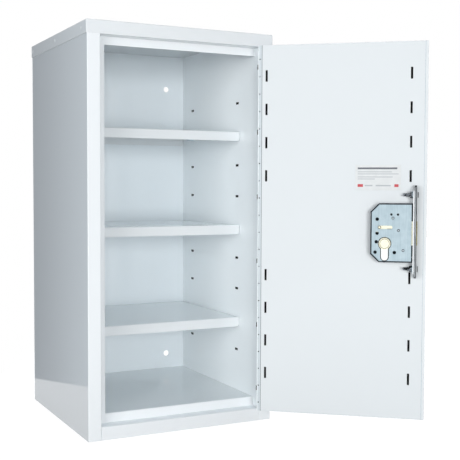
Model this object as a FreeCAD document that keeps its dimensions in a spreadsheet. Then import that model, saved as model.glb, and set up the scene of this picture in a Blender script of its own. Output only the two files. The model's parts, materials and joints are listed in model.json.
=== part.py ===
"""Steel medicine cabinet with a hinged, lockable door and three loose shelves."""
import FreeCAD, Part
import os
import re

import Sketcher

# Driving dimensions in millimetres, angles in degrees
SIZES = {
    # Overall cabinet and sheet
    "lid_width": 300,
    "depth": 292,
    "height": 600,
    "sheet": 1.2,
    "bend": 1.6,
    "overrun": 2,
    # Front frame and door stops
    "post_width": 20,
    "rail_height": 19.5,
    "stop_depth": 19.5,
    "stop_lip": 12,
    "lip_relief": 5,
    "floor_height": 33.5,
    # Wall-fixing holes in the back
    "wall_hole_radius": 5,
    "wall_hole_inset": 55,
    "wall_hole_margin": 60,
    # Lid rivets
    "rivet_radius": 1.6,
    "rivet_head_radius": 2.6,
    "rivet_head": 0.6,
    "rivet_clearance": 0.05,
    "rivet_first": 25,
    "rivet_last": 7,
    "rivet_drop": 10,
    # Shelf pegs and shelves
    "peg_width": 8.6,
    "peg_thick": 2.8,
    "peg_seat": 5,
    "peg_shoulder": 1,
    "peg_clearance": 0.05,
    "peg_reach": 9,
    "peg_tail": 3,
    "peg_front": 77,
    "peg_rear": 42.5,
    "peg_margin": 100,
    "shelf_front": 67,
    "shelf_lip": 15,
    "shelf_corner": 4,
    "shelf_side_gap": 1,
    "shelf_back_gap": 1,
    "shelf_seat": 0.1,
    # Continuous hinge
    "knuckle_radius": 2.5,
    "knuckle_gap": 0.5,
    "knuckle_clearance": 0.3,
    "pin_radius": 1.2,
    "pin_clearance": 0.05,
    "leaf": 1,
    "leaf_gap": 0.6,
    "leaf_width": 18,
    "hinge_proud": 2.5,
    "weld_slot_margin": 50,
    "weld_slot_length": 8,
    "weld_slot_width": 3,
    "weld_slot_set": 7,
    # Door
    "open_angle": 140.4,
    "door_gap": 1.5,
    "door_reach": 252,
    "door_thick": 18,
    "door_sheet": 1,
    "door_bend": 1.2,
    "hem_hinge": 7,
    "hem_free": 6.5,
    "hem_end": 3.5,
    "panel_lap": 2,
    "vent_length": 17,
    "vent_width": 3,
    "vent_low_margin": 60,
    "vent_high_margin": 46.2,
    "vent_hinge_set": 13.1,
    "vent_free_set": 23.5,
    "stiffener_start": 90,
    "stiffener_width": 34,
    "stiffener_flange": 9,
    "stiffener_margin": 40,
    "label_set": 104.1,
    "label_width": 66.5,
    "label_height": 37.5,
    "label_rise": 61.1,
    "label_thick": 0.2,
    # Lock, set from the door's middle height and free edge
    "lock_rise": 0.5,
    "forend_set": 14,
    "forend_thick": 3,
    "forend_length": 136,
    "forend_width": 18,
    "bracket_thick": 2,
    "bracket_length": 121,
    "bracket_bridge": 3,
    "screw_spacing": 108.6,
    "screw_radius": 2.5,
    "screw_clearance": 0.2,
    "screw_head_radius": 5.8,
    "screw_head": 2.4,
    "screw_slot": 1,
    "screw_reach": 16.2,
    "washer_radius": 5.5,
    "washer": 1,
    "nut_radius": 4.6,
    "nut": 4,
    "case_stand": 1.5,
    "case_thick": 16,
    "case_wall": 1.5,
    "case_length": 63,
    "case_above": 41.7,
    "case_below": 44.5,
    "case_chamfer": 12,
    "case_clearance": 0.3,
    "cover_gap": 1.2,
    "cover_slit": 2.5,
    "case_rivet_radius": 2,
    "cover_hole_radius": 2.5,
    "cover_pip_radius": 1.3,
    "bolt_height": 35,
    "bolt_thick": 8,
    "bolt_length": 29.2,
    "bolt_drop": 2,
    "bolt_proud": 1.2,
    "bolt_throw": 14,
    "bolt_notch": 5.5,
    "tail_length": 32,
    "tail_height": 13.8,
    "tail_thick": 3,
    "guide_rise": 6.6,
    "guide_set": 7,
    "guide_slack": 2.4,
    "guide_pin_radius": 2.2,
    "guide_shank_radius": 1.5,
    "guide_proud": 0.6,
    "spring_thick": 0.6,
    "spring_width": 6,
    "spring_inset": 4.5,
    "spring_foot": 20,
    "spring_sweep": 12,
    "backset": 45.3,
    "cylinder_drop": 17.2,
    "head_radius": 8.5,
    "web_width": 10,
    "profile_drop": 24.5,
    "cylinder_clearance": 0.3,
    "cylinder_proud": 2,
    "plug_radius": 6.5,
    "plug_clearance": 0.05,
    "plug_recess": 0.2,
    "keyway_width": 2.2,
    "keyway_height": 8,
    "keyway_depth": 20,
    "cam_radius": 15.5,
    "cam_hub_radius": 7.9,
    "cam_width": 9.4,
    "cam_nose": 5.5,
    "cam_clearance": 0.3,
    "fixing_drop": 20,
    "fixing_radius": 2.4,
    "fixing_head_radius": 4.2,
    "fixing_head": 2,
    "fixing_reach": 9,
    "escutcheon_width": 34,
    "escutcheon_height": 66,
    "escutcheon_thick": 3,
    "escutcheon_corner": 6,
    "escutcheon_margin": 6,
    "escutcheon_screw_radius": 1.7,
    "escutcheon_head_radius": 3.2,
    "escutcheon_head": 1.4,
}

# Peg rows from the bottom up, with the shelf that each one carries
PEG_ROWS = ("", "lower", "", "", "middle", "", "", "upper", "")

# Counts
KNUCKLES = 22
WELD_SLOTS = 6
VENTS_EACH = 4
VENTS_SKIPPED = 2
RIVETS_EACH = 3

# Lock cover details as shares of the cover's length and height, from its lower inner corner
COVER_HOLE_SHARES = ((0.164, 0.731), (0.146, 0.346), (0.119, 0.169), (0.592, 0.168), (0.164, 0.492))
COVER_PIP_SHARES = ((0.508, 0.812), (0.669, 0.812))
CASE_RIVET_SHARES = ((0.549, 0.752), (0.685, 0.543), (0.803, 0.204))

# Places worked out from the sizes, each used by more than one piece
PLACES = {
    "side_out": "lid_width / 2 - sheet",
    "side_in": "side_out - sheet",
    "post_in": "side_out - post_width",
    "liner_back": "post_in + sheet",
    "front": "-depth / 2",
    "front_in": "front + sheet",
    "back": "depth / 2",
    "back_in": "back - sheet",
    "lid_under": "height - sheet",
    "rail_top": "height - rail_height",
    "ledge_low": "rail_height - sheet",
    "stop_face": "front + stop_depth",
    "stop_back": "stop_face + sheet",
    "riser_back": "stop_back + sheet",
    "hinge_x": "post_in - leaf - leaf_gap / 2",
    "hinge_y": "front - hinge_proud",
    "front_column": "front + peg_front",
    "rear_column": "back - peg_rear",
    "rivet_pitch": f"(depth - rivet_first - rivet_last) / {RIVETS_EACH - 1}",
    "peg_pitch": f"(height - 2 * peg_margin) / {len(PEG_ROWS) - 1}",
    "door_low": "rail_height + door_gap",
    "door_high": "rail_top - door_gap",
    "door_tall": "door_high - door_low",
    "knuckle_pitch": f"door_tall / {KNUCKLES}",
    "weld_slot_pitch": f"(height - 2 * weld_slot_margin) / {WELD_SLOTS - 1}",
    "vent_span": "door_tall - vent_low_margin - vent_high_margin",
    "vent_pitch": f"vent_span / {2 * VENTS_EACH + VENTS_SKIPPED - 1}",
    "door_near": "leaf + leaf_gap / 2",
    "skin_face": "hinge_proud",
    "skin_back": "hinge_proud + door_sheet",
    "panel_face": "hinge_proud + door_thick",
    "panel_back": "panel_face - door_sheet",
    "hem_back": "panel_back - door_sheet",
    "label_near": "door_reach - label_set",
    "lock_z": "height / 2 + lock_rise",
    "lock_t": "case_back + case_thick / 2",
    "forend_face": "door_reach - forend_set",
    "forend_back": "forend_face - forend_thick",
    "bracket_back": "forend_back - bracket_thick",
    "case_near": "forend_back - case_length",
    "case_back": "panel_face + case_stand",
    "case_front": "case_back + case_thick",
    "case_inner": "case_back + case_wall",
    "case_low": "lock_z - case_below",
    "case_high": "lock_z + case_above",
    "cover_far": "forend_back - case_wall - cover_slit",
    "cover_back": "case_front - case_wall",
    "cylinder_u": "forend_face - backset",
    "cylinder_z": "lock_z - cylinder_drop",
    "cylinder_front": "skin_face - escutcheon_thick",
    "cylinder_back": "case_front + cylinder_proud",
    "cam_low": "lock_t - cam_width / 2",
    "cam_high": "lock_t + cam_width / 2",
    "bolt_tip": "forend_face + bolt_proud",
    "bolt_near": "bolt_tip - bolt_length",
    "bolt_z": "lock_z - bolt_drop",
    "bolt_low": "bolt_z - bolt_height / 2",
    "bolt_high": "bolt_z + bolt_height / 2",
    "tail_near": "bolt_near - tail_length",
    "guide_z": "lock_z + guide_rise",
    "guide_u": "tail_near + guide_set",
    "tail_front": "cover_back - case_clearance",
    "tail_low": "guide_z - tail_height / 2",
    "tail_high": "guide_z + tail_height / 2",
}

WORD = re.compile(r"[a-z]\w+")

doc = FreeCAD.newDocument("medicine_cabinet")
sheet = doc.addObject("Spreadsheet::Sheet", "Sizes")
for row, (alias, size) in enumerate(SIZES.items(), start=1):
    sheet.set(f"A{row}", alias)
    sheet.set(f"B{row}", str(size))
    sheet.setAlias(f"B{row}", alias)
doc.recompute()


def cells(text):
    """Write a sum of named sizes and places as an expression on the sheet's cells."""
    def swap(match):
        word = match.group()
        if word in PLACES:
            return f"({cells(PLACES[word])})"
        return f"Sizes.{word}"
    return WORD.sub(swap, str(text))


def amount(text):
    """Work out a sum of named sizes and places as a number."""
    return float(sheet.evalExpression(cells(text)))


def bind(thing, prop, text):
    thing.setExpression(prop, cells(text))


def block(name, x, y, z):
    """Box between a low and a high place on each axis."""
    box = doc.addObject("Part::Box", name)
    for side, axis, (low, high) in zip(("Length", "Width", "Height"), "xyz", (x, y, z)):
        bind(box, side, f"({high}) - ({low})")
        bind(box, f"Placement.Base.{axis}", low)
    return box


def rod(name, along, centre, span, radius):
    """Cylinder along one axis; centre gives its places on the other two, in x, y, z order."""
    turns = {"x": (FreeCAD.Vector(0, 1, 0), 90), "y": (FreeCAD.Vector(1, 0, 0), -90),
             "z": (FreeCAD.Vector(0, 0, 1), 0)}
    cylinder = doc.addObject("Part::Cylinder", name)
    cylinder.Placement = FreeCAD.Placement(FreeCAD.Vector(), FreeCAD.Rotation(*turns[along]))
    low, high = span
    bind(cylinder, "Radius", radius)
    bind(cylinder, "Height", f"({high}) - ({low})")
    others = [axis for axis in "xyz" if axis != along]
    for axis, place in zip(others, centre):
        bind(cylinder, f"Placement.Base.{axis}", place)
    bind(cylinder, f"Placement.Base.{along}", low)
    return cylinder


def joined(name, pieces):
    fuse = doc.addObject("Part::MultiFuse", name)
    fuse.Shapes = pieces
    fuse.Refine = True
    return fuse


def grouped(name, pieces):
    """Separate solids kept together as one sub-part."""
    group = doc.addObject("Part::Compound", name)
    group.Links = pieces
    return group


def pierced(name, base, tools):
    """Base with tools taken away, checked that each cut really removes metal."""
    cut = doc.addObject("Part::Cut", name)
    cut.Base = base
    cut.Tool = joined(f"{name}_tools", tools) if len(tools) > 1 else tools[0]
    cut.Refine = True
    doc.recompute()
    if cut.Shape.Volume >= base.Shape.Volume:
        raise RuntimeError(f"{name}: its cut removes nothing")
    return cut


def outline(name, plane, corners, span):
    """Closed outline of straight sides, sketched on a plane and padded over a span."""
    body = doc.addObject("PartDesign::Body", name)
    support = [item for item in body.Origin.OriginFeatures if item.Role == plane][0]
    sketch = body.newObject("Sketcher::SketchObject", f"{name}_sketch")
    sketch.AttachmentSupport = (support, [""])
    sketch.MapMode = "FlatFace"
    points = [FreeCAD.Vector(amount(a), amount(b), 0) for a, b in corners]
    sides = len(points)
    for index in range(sides):
        sketch.addGeometry(Part.LineSegment(points[index], points[(index + 1) % sides]), False)
    for index in range(sides):
        sketch.addConstraint(Sketcher.Constraint("Coincident", index, 2, (index + 1) % sides, 1))
    for index, (corner, point) in enumerate(zip(corners, points)):
        for kind, text, place in zip(("DistanceX", "DistanceY"), corner, point):
            if place == 0:
                axis = -2 if kind == "DistanceX" else -1
                sketch.addConstraint(Sketcher.Constraint("PointOnObject", index, 1, axis))
                continue
            number = sketch.addConstraint(Sketcher.Constraint(kind, -1, 1, index, 1, place))
            bind(sketch, f"Constraints[{number}]", text)
    low, high = span
    bind(sketch, "AttachmentOffset.Base.z", f"-({high})" if plane == "XZ_Plane" else low)
    pad = body.newObject("PartDesign::Pad", f"{name}_pad")
    pad.Profile = sketch
    bind(pad, "Length", f"({high}) - ({low})")
    body.Tip = pad
    doc.recompute()
    return body


def rounded(body, radius, wanted):
    """Round the straight edges of a body that wanted() picks by their two end points."""
    tip = body.Tip
    names = [f"Edge{number}" for number, edge in enumerate(tip.Shape.Edges, start=1)
             if len(edge.Vertexes) == 2 and wanted(*[vertex.Point for vertex in edge.Vertexes])]
    fillet = body.newObject("PartDesign::Fillet", f"{body.Name}_bends")
    fillet.Base = (tip, names)
    bind(fillet, "Radius", radius)
    body.Tip = fillet
    doc.recompute()
    return body


def near(value, text):
    """Whether a coordinate lies at a named place."""
    return abs(value - amount(text)) < amount("overrun") * 1e-3


def edge_at(**places):
    """Picker for edges whose ends both lie at the named places, such as x="side_out"."""
    def wanted(start, end):
        return all(near(getattr(point, axis), text)
                   for axis, text in places.items() for point in (start, end))
    return wanted


def any_of(*pickers):
    return lambda start, end: any(picker(start, end) for picker in pickers)


finished = []


def finish(piece, label):
    piece.Label = label
    finished.append(piece)
    return piece


def hang(piece, label):
    """Finish a piece drawn in the closed door's place about the hinge axis, and swing it open."""
    bind(piece, "Placement.Base.x", "hinge_x")
    bind(piece, "Placement.Base.y", "hinge_y")
    bind(piece, "Placement.Rotation.Angle", "open_angle")
    return finish(piece, label)


# Cabinet shell


def side_panel(hand, sign):
    """Outer side, front post and return folded from one sheet; the left one adds the stop lip."""
    def at(place):
        return f"{sign} * ({place})"

    def across(low, high):
        return (at(low), at(high)) if sign > 0 else (at(high), at(low))

    wall = block(f"{hand}_wall", across("side_in", "side_out"), ("front_in", "back"), (0, "lid_under"))
    corners = [(at("side_out"), "front_in + sheet"), (at("side_out"), "front"), (at("post_in"), "front"),
               (at("post_in"), "stop_face"), (at("liner_back"), "stop_face"),
               (at("liner_back"), "front_in"), (at("side_in"), "front_in"),
               (at("side_in"), "front_in + sheet")]
    post = outline(f"{hand}_post", "XY_Plane", corners, (0, "rail_top"))
    rounded(post, "bend", any_of(edge_at(x=at("side_out"), y="front"), edge_at(x=at("post_in"), y="front")))
    pieces = [wall, post]
    if sign < 0:
        pieces.append(block("left_lip", (at("liner_back"), at("post_in - stop_lip")),
                            ("stop_face", "stop_back"), ("rail_height", "rail_top - lip_relief")))
    panel = joined(f"{hand}_folded", pieces)
    tools = [rod(f"{hand}_rivet_hole_{number}", "x", (place, "height - rivet_drop"),
                 across("side_in - overrun", "side_out + overrun"), "rivet_radius + rivet_clearance")
             for number, place in enumerate(rivet_places())]
    if sign > 0:
        through = ("post_in - overrun", "liner_back + overrun")
        tools += weld_slots("post_slot", through, "front + weld_slot_set")
    finish(pierced(f"{hand}_panel", panel, tools), f"{hand}_side_panel")


def rivet_places():
    return [f"front + rivet_first + {number} * rivet_pitch" for number in range(RIVETS_EACH)]


def weld_slots(name, span, place):
    """Upright round-ended slots through the hinge side of the frame."""
    tools = []
    for number in range(WELD_SLOTS):
        middle = f"(weld_slot_margin + {number} * weld_slot_pitch)"
        tools.append(slot(f"{name}_{number}", "x", span, place, middle,
                          "weld_slot_length", "weld_slot_width"))
    return tools


def slot(name, along, span, place, middle, length, width):
    """Upright round-ended bar, drawn along x or y, used to cut a slot."""
    half = f"({length} - {width}) / 2"
    low, high = f"{middle} - {half}", f"{middle} + {half}"
    side = (f"{place} - {width} / 2", f"{place} + {width} / 2")
    flat = (span, side) if along == "x" else (side, span)
    ends = [rod(f"{name}_{tag}", along, (place, end), span, f"{width} / 2")
            for tag, end in (("low", low), ("high", high))]
    return joined(name, [block(f"{name}_flat", *flat, (low, high))] + ends)


def peg_height(row):
    return f"(peg_margin + {row} * peg_pitch)"


def flat_bar(name, span, centre, width, thick):
    """Flat bar across the cabinet with rounded edges to front and back."""
    column, rise = centre
    half = f"({width} - {thick}) / 2"
    sides = (f"{column} - {half}", f"{column} + {half}")
    edges = [rod(f"{name}_{tag}", "x", (side, rise), span, f"{thick} / 2")
             for tag, side in zip(("near", "far"), sides)]
    flat = block(f"{name}_flat", span, sides, (f"{rise} - {thick} / 2", f"{rise} + {thick} / 2"))
    return joined(name, [flat] + edges)


def liner(hand, sign, start):
    """Inner skin of a side, from the post's return to the back, with its two columns of peg slots."""
    low, high = sorted((f"{sign} * post_in", f"{sign} * liner_back"), key=amount)
    skin = block(f"{hand}_skin", (low, high), (start, "back_in"), ("sheet", "lid_under"))
    through = (f"{low} - overrun", f"{high} + overrun")
    tools = [flat_bar(f"{hand}_peg_slot_{row}_{column}", through, (column, peg_height(row)),
                      "(peg_width + 2 * peg_clearance)", "(peg_thick + 2 * peg_clearance)")
             for row in range(len(PEG_ROWS)) for column in ("front_column", "rear_column")]
    finish(pierced(f"{hand}_inner_skin", skin, tools), f"{hand}_liner")


def back_panel():
    """Single back skin with four wall-fixing holes."""
    skin = block("back_skin", ("-side_in", "side_in"), ("back_in", "back"), (0, "lid_under"))
    tools = [rod(f"wall_hole_{tag}_{rise}", "y", (f"{sign} * (lid_width / 2 - wall_hole_inset)", place),
                 ("back_in - overrun", "back + overrun"), "wall_hole_radius")
             for tag, sign in (("left", -1), ("right", 1))
             for rise, place in (("low", "wall_hole_margin"), ("high", "height - wall_hole_margin"))]
    finish(pierced("back_holed", skin, tools), "back_panel")


def top_lid():
    """Tray upside down: top, front skirt that makes the top rail, and two lapping side skirts."""
    half = "lid_width / 2"
    corners = [(f"-{half}", "front"), (half, "front"), (half, "back"), (f"-{half}", "back")]
    tray = outline("lid_tray", "XY_Plane", corners, ("rail_top", "height"))
    rounded(tray, "bend", any_of(edge_at(z="height", y="front"), edge_at(z="height", x=half),
                                 edge_at(z="height", x=f"-{half}"), edge_at(x=half, y="front"),
                                 edge_at(x=f"-{half}", y="front")))
    hollow = block("lid_hollow", ("-side_out", "side_out"), ("front_in", "back + overrun"),
                   ("rail_top - overrun", "lid_under"))
    holes = [rod(f"lid_hole_{tag}_{number}", "x", (place, "height - rivet_drop"), span,
                 "rivet_radius + rivet_clearance")
             for number, place in enumerate(rivet_places())
             for tag, span in (("left", ("-lid_width / 2 - overrun", "-side_out + overrun")),
                               ("right", ("side_out - overrun", "lid_width / 2 + overrun")))]
    finish(pierced("lid_open", tray, [hollow] + holes), "top_lid")


def lid_rivets():
    """Low-headed rivets through the lid's skirts and the sides."""
    rivets = []
    for tag, sign in (("left", -1), ("right", 1)):
        head = sorted((f"{sign} * lid_width / 2", f"{sign} * (lid_width / 2 + rivet_head)"), key=amount)
        shank = sorted((f"{sign} * side_in", f"{sign} * lid_width / 2"), key=amount)
        for number, place in enumerate(rivet_places()):
            centre = (place, "height - rivet_drop")
            rivets.append(joined(f"rivet_{tag}_{number}", [
                rod(f"rivet_head_{tag}_{number}", "x", centre, head, "rivet_head_radius"),
                rod(f"rivet_shank_{tag}_{number}", "x", centre, shank, "rivet_radius")]))
    finish(grouped("lid_rivet_set", rivets), "lid_rivets")


def top_stop_rail():
    """Ledge behind the top rail with the lip that the closed door meets."""
    corners = [("front_in", "rail_top"), ("stop_back", "rail_top"), ("stop_back", "rail_top - stop_lip"),
               ("riser_back", "rail_top - stop_lip"), ("riser_back", "rail_top + sheet"),
               ("front_in", "rail_top + sheet")]
    rail = outline("stop_rail", "YZ_Plane", corners, ("-post_in", "post_in"))
    rounded(rail, "sheet / 2", edge_at(y="riser_back", z="rail_top + sheet"))
    finish(rail, "top_stop_rail")


def floor_pan():
    """Bottom rail, ledge, riser and raised floor folded from one sheet."""
    corners = [("front", 0), ("front_in", 0), ("front_in", "ledge_low"), ("riser_back", "ledge_low"),
               ("riser_back", "floor_height - sheet"), ("back_in", "floor_height - sheet"),
               ("back_in", "floor_height"), ("stop_back", "floor_height"), ("stop_back", "rail_height"),
               ("front", "rail_height")]
    pan = outline("pan_fold", "YZ_Plane", corners, ("-post_in", "post_in"))
    rounded(pan, "bend", any_of(edge_at(y="front", z="rail_height"),
                                edge_at(y="stop_back", z="floor_height")))
    finish(pan, "floor_pan")


def base_panel():
    """Plate that closes the underside behind the posts."""
    plate = block("underside", ("-side_in", "side_in"), ("riser_back", "back_in"), (0, "sheet"))
    finish(plate, "base_panel")


def shelf(name, row):
    """Loose tray with a lip folded down along its front and back."""
    under = f"({peg_height(row)} + peg_seat / 2 + shelf_seat)"
    top, low = f"{under} + sheet", f"{under} + sheet - shelf_lip"
    near_y, far_y = "(front + shelf_front)", "(back_in - shelf_back_gap)"
    corners = [(near_y, low), (f"{near_y} + sheet", low), (f"{near_y} + sheet", under),
               (f"{far_y} - sheet", under), (f"{far_y} - sheet", low), (far_y, low), (far_y, top),
               (near_y, top)]
    end = "(post_in - shelf_side_gap)"
    tray = outline(f"{name}_tray", "YZ_Plane", corners, (f"-{end}", end))
    rounded(tray, "bend", any_of(edge_at(y=near_y, z=top), edge_at(y=far_y, z=top)))
    rounded(tray, "shelf_corner", any_of(edge_at(z=low, x=end), edge_at(z=low, x=f"-{end}")))
    finish(tray, f"{name}_shelf")


def shelf_pegs(name, row):
    """Four flat pegs that carry one shelf, each with a shoulder on the liner and a tail through it."""
    pegs = []
    wide = "(peg_width + 2 * peg_shoulder)"
    for tag, sign in (("left", -1), ("right", 1)):
        inner, outer = f"{sign} * (post_in - peg_reach)", f"{sign} * (post_in + peg_tail)"
        face = f"{sign} * post_in"
        for column in ("front_column", "rear_column"):
            centre = (column, peg_height(row))
            peg = f"{name}_{tag}_{column}"
            seat = flat_bar(f"{peg}_seat", sorted((inner, face), key=amount), centre, wide, "peg_seat")
            tail = flat_bar(f"{peg}_tail", sorted((face, outer), key=amount), centre,
                            "peg_width", "peg_thick")
            pegs.append(joined(peg, [seat, tail]))
    finish(grouped(f"{name}_peg_set", pegs), f"{name}_shelf_pegs")


# Hinge, drawn about its own axis


def leaf_solid(name, sign, first):
    """One leaf with every second knuckle; sign gives the side of the axis that it lies on."""
    low, high = sorted((f"{sign} * leaf_gap / 2", f"{sign} * (leaf_gap / 2 + leaf)"), key=amount)
    root = "(knuckle_radius + knuckle_clearance)"
    pieces = [block(f"{name}_plate", (low, high), (root, "hinge_proud + leaf_width"),
                    ("door_low", "door_high"))]
    for number in range(first, KNUCKLES, 2):
        bottom = f"door_low + {number} * knuckle_pitch"
        span = (f"{bottom} + knuckle_gap / 2", f"{bottom} + knuckle_pitch - knuckle_gap / 2")
        pieces.append(rod(f"{name}_knuckle_{number}", "z", (0, 0), span, "knuckle_radius"))
        pieces.append(block(f"{name}_neck_{number}", (low, high), (0, root), span))
    bore = rod(f"{name}_bore", "z", (0, 0), ("door_low - overrun", "door_high + overrun"),
               "pin_radius + pin_clearance")
    return joined(f"{name}_leaf", pieces), bore


def hinge():
    """Continuous hinge: a leaf on the post's return, a leaf on the door's edge, and the pin."""
    plate, bore = leaf_solid("frame", 1, 0)
    through = ("-overrun", "leaf_gap / 2 + leaf + overrun")
    slots = weld_slots("leaf_slot", through, "hinge_proud + weld_slot_set")
    frame_leaf = pierced("frame_leaf_bored", plate, [bore] + slots)
    bind(frame_leaf, "Placement.Base.x", "hinge_x")
    bind(frame_leaf, "Placement.Base.y", "hinge_y")
    finish(frame_leaf, "hinge_frame_leaf")
    plate, bore = leaf_solid("door", -1, 1)
    hang(pierced("door_leaf_bored", plate, [bore]), "hinge_door_leaf")
    pin = rod("pin_rod", "z", ("hinge_x", "hinge_y"), ("door_low", "door_high"), "pin_radius")
    finish(pin, "hinge_pin")


# Door, drawn closed about the hinge axis: u runs from the axis to the free edge, t from front to back


def door_block(name, u, t, z):
    near_u, far_u = u
    return block(name, (f"-({far_u})", f"-({near_u})"), t, z)


def door_rod(name, u, z, t, radius):
    """Cylinder through the door's thickness."""
    return rod(name, "y", (f"-({u})", z), t, radius)


def cross_rod(name, t, z, u, radius):
    """Cylinder along the door's width."""
    near_u, far_u = u
    return rod(name, "x", (t, z), (f"-({far_u})", f"-({near_u})"), radius)


def door_outline(name, corners, t):
    """Closed outline seen square to the door, given in u and z, padded through t."""
    return outline(name, "XZ_Plane", [(f"-({u})", z) for u, z in corners], t)


def door_skin():
    """Outer pan with four walls and the hems that carry the inner panel."""
    corners = [("door_near", "door_low"), ("door_reach", "door_low"), ("door_reach", "door_high"),
               ("door_near", "door_high")]
    pan = door_outline("pan", corners, ("skin_face", "panel_back"))
    rounded(pan, "door_bend", edge_at(y="skin_face"))
    hollow = door_block("pan_hollow", ("door_near + door_sheet", "door_reach - door_sheet"),
                        ("skin_back", "hem_back"), ("door_low + door_sheet", "door_high - door_sheet"))
    mouth = door_block("pan_mouth", ("door_near + hem_hinge", "door_reach - hem_free"),
                       ("hem_back - overrun", "panel_back + overrun"),
                       ("door_low + hem_end", "door_high - hem_end"))
    through = ("skin_face - overrun", "skin_back + overrun")
    tools = [hollow, mouth, *profile_tools("skin_cut", through, "cylinder_clearance")]
    tools += escutcheon_rods("skin_screw_hole", through, "screw_clearance")
    hang(pierced("pan_open", pan, tools), "door_skin")


def door_inner_panel():
    """Flat inner sheet on the hems, with two columns of upright slots and the lock's opening."""
    panel = door_block("panel_sheet",
                       ("door_near + hem_hinge - panel_lap", "door_reach - hem_free + panel_lap"),
                       ("panel_back", "panel_face"),
                       ("door_low + hem_end - panel_lap", "door_high - hem_end + panel_lap"))
    through = ("panel_back - overrun", "panel_face + overrun")
    tools = profile_tools("panel_cut", through, "cylinder_clearance")
    for group in (0, 1):
        for number in range(VENTS_EACH):
            step = number + group * (VENTS_EACH + VENTS_SKIPPED)
            middle = f"(door_low + vent_low_margin + {step} * vent_pitch)"
            for column, place in (("hinge", "vent_hinge_set"), ("free", "door_reach - vent_free_set")):
                tools.append(slot(f"vent_{column}_{step}", "y", through, f"-({place})", middle,
                                  "vent_length", "vent_width"))
    hang(pierced("panel_slotted", panel, tools), "door_inner_panel")


def door_stiffener():
    """Hat-shaped channel between the door's two skins."""
    near_u = "stiffener_start"
    far_u = "(stiffener_start + 2 * stiffener_flange + stiffener_width)"
    rise, fall = f"({near_u} + stiffener_flange)", f"({far_u} - stiffener_flange)"
    foot = "skin_back + door_sheet"
    under = "panel_back - door_sheet"
    rise_in, fall_in = f"{rise} + door_sheet", f"{fall} - door_sheet"
    corners = [(near_u, "skin_back"), (rise_in, "skin_back"), (rise_in, under), (fall_in, under),
               (fall_in, "skin_back"), (far_u, "skin_back"), (far_u, foot), (fall, foot),
               (fall, "panel_back"), (rise, "panel_back"), (rise, foot), (near_u, foot)]
    hat = outline("stiffener_hat", "XY_Plane", [(f"-({u})", t) for u, t in corners],
                  ("door_low + stiffener_margin", "door_high - stiffener_margin"))
    hang(hat, "door_stiffener")


def door_label():
    """Plain blank label above the lock."""
    low = "height / 2 + label_rise"
    high = f"{low} + label_height"
    far_u = "label_near + label_width"
    corners = [("label_near", low), (far_u, low), (far_u, high), ("label_near", high)]
    hang(door_outline("label_plate", corners, ("panel_face", "panel_face + label_thick")), "door_label")


# Lock


def profile_tools(name, t, extra):
    """Keyhole-shaped cylinder profile, round head over a narrow web, grown by extra."""
    half = f"(web_width / 2 + {extra})"
    foot = "cylinder_z - profile_drop + web_width / 2"
    return [door_rod(f"{name}_head", "cylinder_u", "cylinder_z", t, f"head_radius + {extra}"),
            door_block(f"{name}_web", (f"cylinder_u - {half}", f"cylinder_u + {half}"), t,
                       (foot, "cylinder_z")),
            door_rod(f"{name}_foot", "cylinder_u", foot, t, half)]


def screw_heights():
    return ["lock_z - screw_spacing / 2", "lock_z + screw_spacing / 2"]


def lock_forend():
    """Round-ended face plate that the bolt passes through."""
    half = "forend_width / 2"
    ends = ("lock_z - forend_length / 2", "lock_z + forend_length / 2")
    span = ("forend_back", "forend_face")
    flat = door_block("forend_flat", span, (f"lock_t - {half}", f"lock_t + {half}"),
                      (f"{ends[0]} + {half}", f"{ends[1]} - {half}"))
    rounds = [cross_rod(f"forend_end_{tag}", "lock_t", place, span, half)
              for tag, place in (("low", f"{ends[0]} + {half}"), ("high", f"{ends[1]} - {half}"))]
    through = ("forend_back - overrun", "forend_face + overrun")
    tools = [bolt_way("forend_bolt_way", through), fixing_way("forend_fixing_way", through)]
    tools.append(cross_rod("forend_fixing_seat", "lock_t", "cylinder_z - fixing_drop",
                           ("forend_face - fixing_head", "forend_face + overrun"),
                           "fixing_head_radius + screw_clearance"))
    tools += [cross_rod(f"forend_hole_{number}", "lock_t", place, through, "screw_radius + screw_clearance")
              for number, place in enumerate(screw_heights())]
    hang(pierced("forend_holed", joined("forend_plate", [flat] + rounds), tools), "lock_forend")


def bolt_way(name, u):
    """Opening that the deadbolt slides through."""
    half = "(bolt_thick / 2 + case_clearance)"
    return door_block(name, u, (f"lock_t - {half}", f"lock_t + {half}"),
                      ("bolt_low - case_clearance", "bolt_high + case_clearance"))


def fixing_way(name, u):
    """Hole for the screw that holds the cylinder."""
    return cross_rod(name, "lock_t", "cylinder_z - fixing_drop", u, "fixing_radius + screw_clearance")


def lock_bracket():
    """Upright portal welded on the inner panel, which the lock is bolted to."""
    half = "bracket_length / 2"
    plate = door_block("bracket_plate", ("bracket_back", "forend_back"),
                       ("panel_face", "case_front + case_clearance + bracket_bridge"),
                       (f"lock_z - {half}", f"lock_z + {half}"))
    through = ("bracket_back - overrun", "forend_back + overrun")
    portal = door_block("bracket_portal", through, ("panel_face - overrun", "case_front + case_clearance"),
                        ("case_low - case_clearance", "case_high + case_clearance"))
    holes = [cross_rod(f"bracket_hole_{number}", "lock_t", place, through, "screw_radius + screw_clearance")
             for number, place in enumerate(screw_heights())]
    hang(pierced("bracket_open", plate, [portal] + holes), "lock_bracket")


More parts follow.
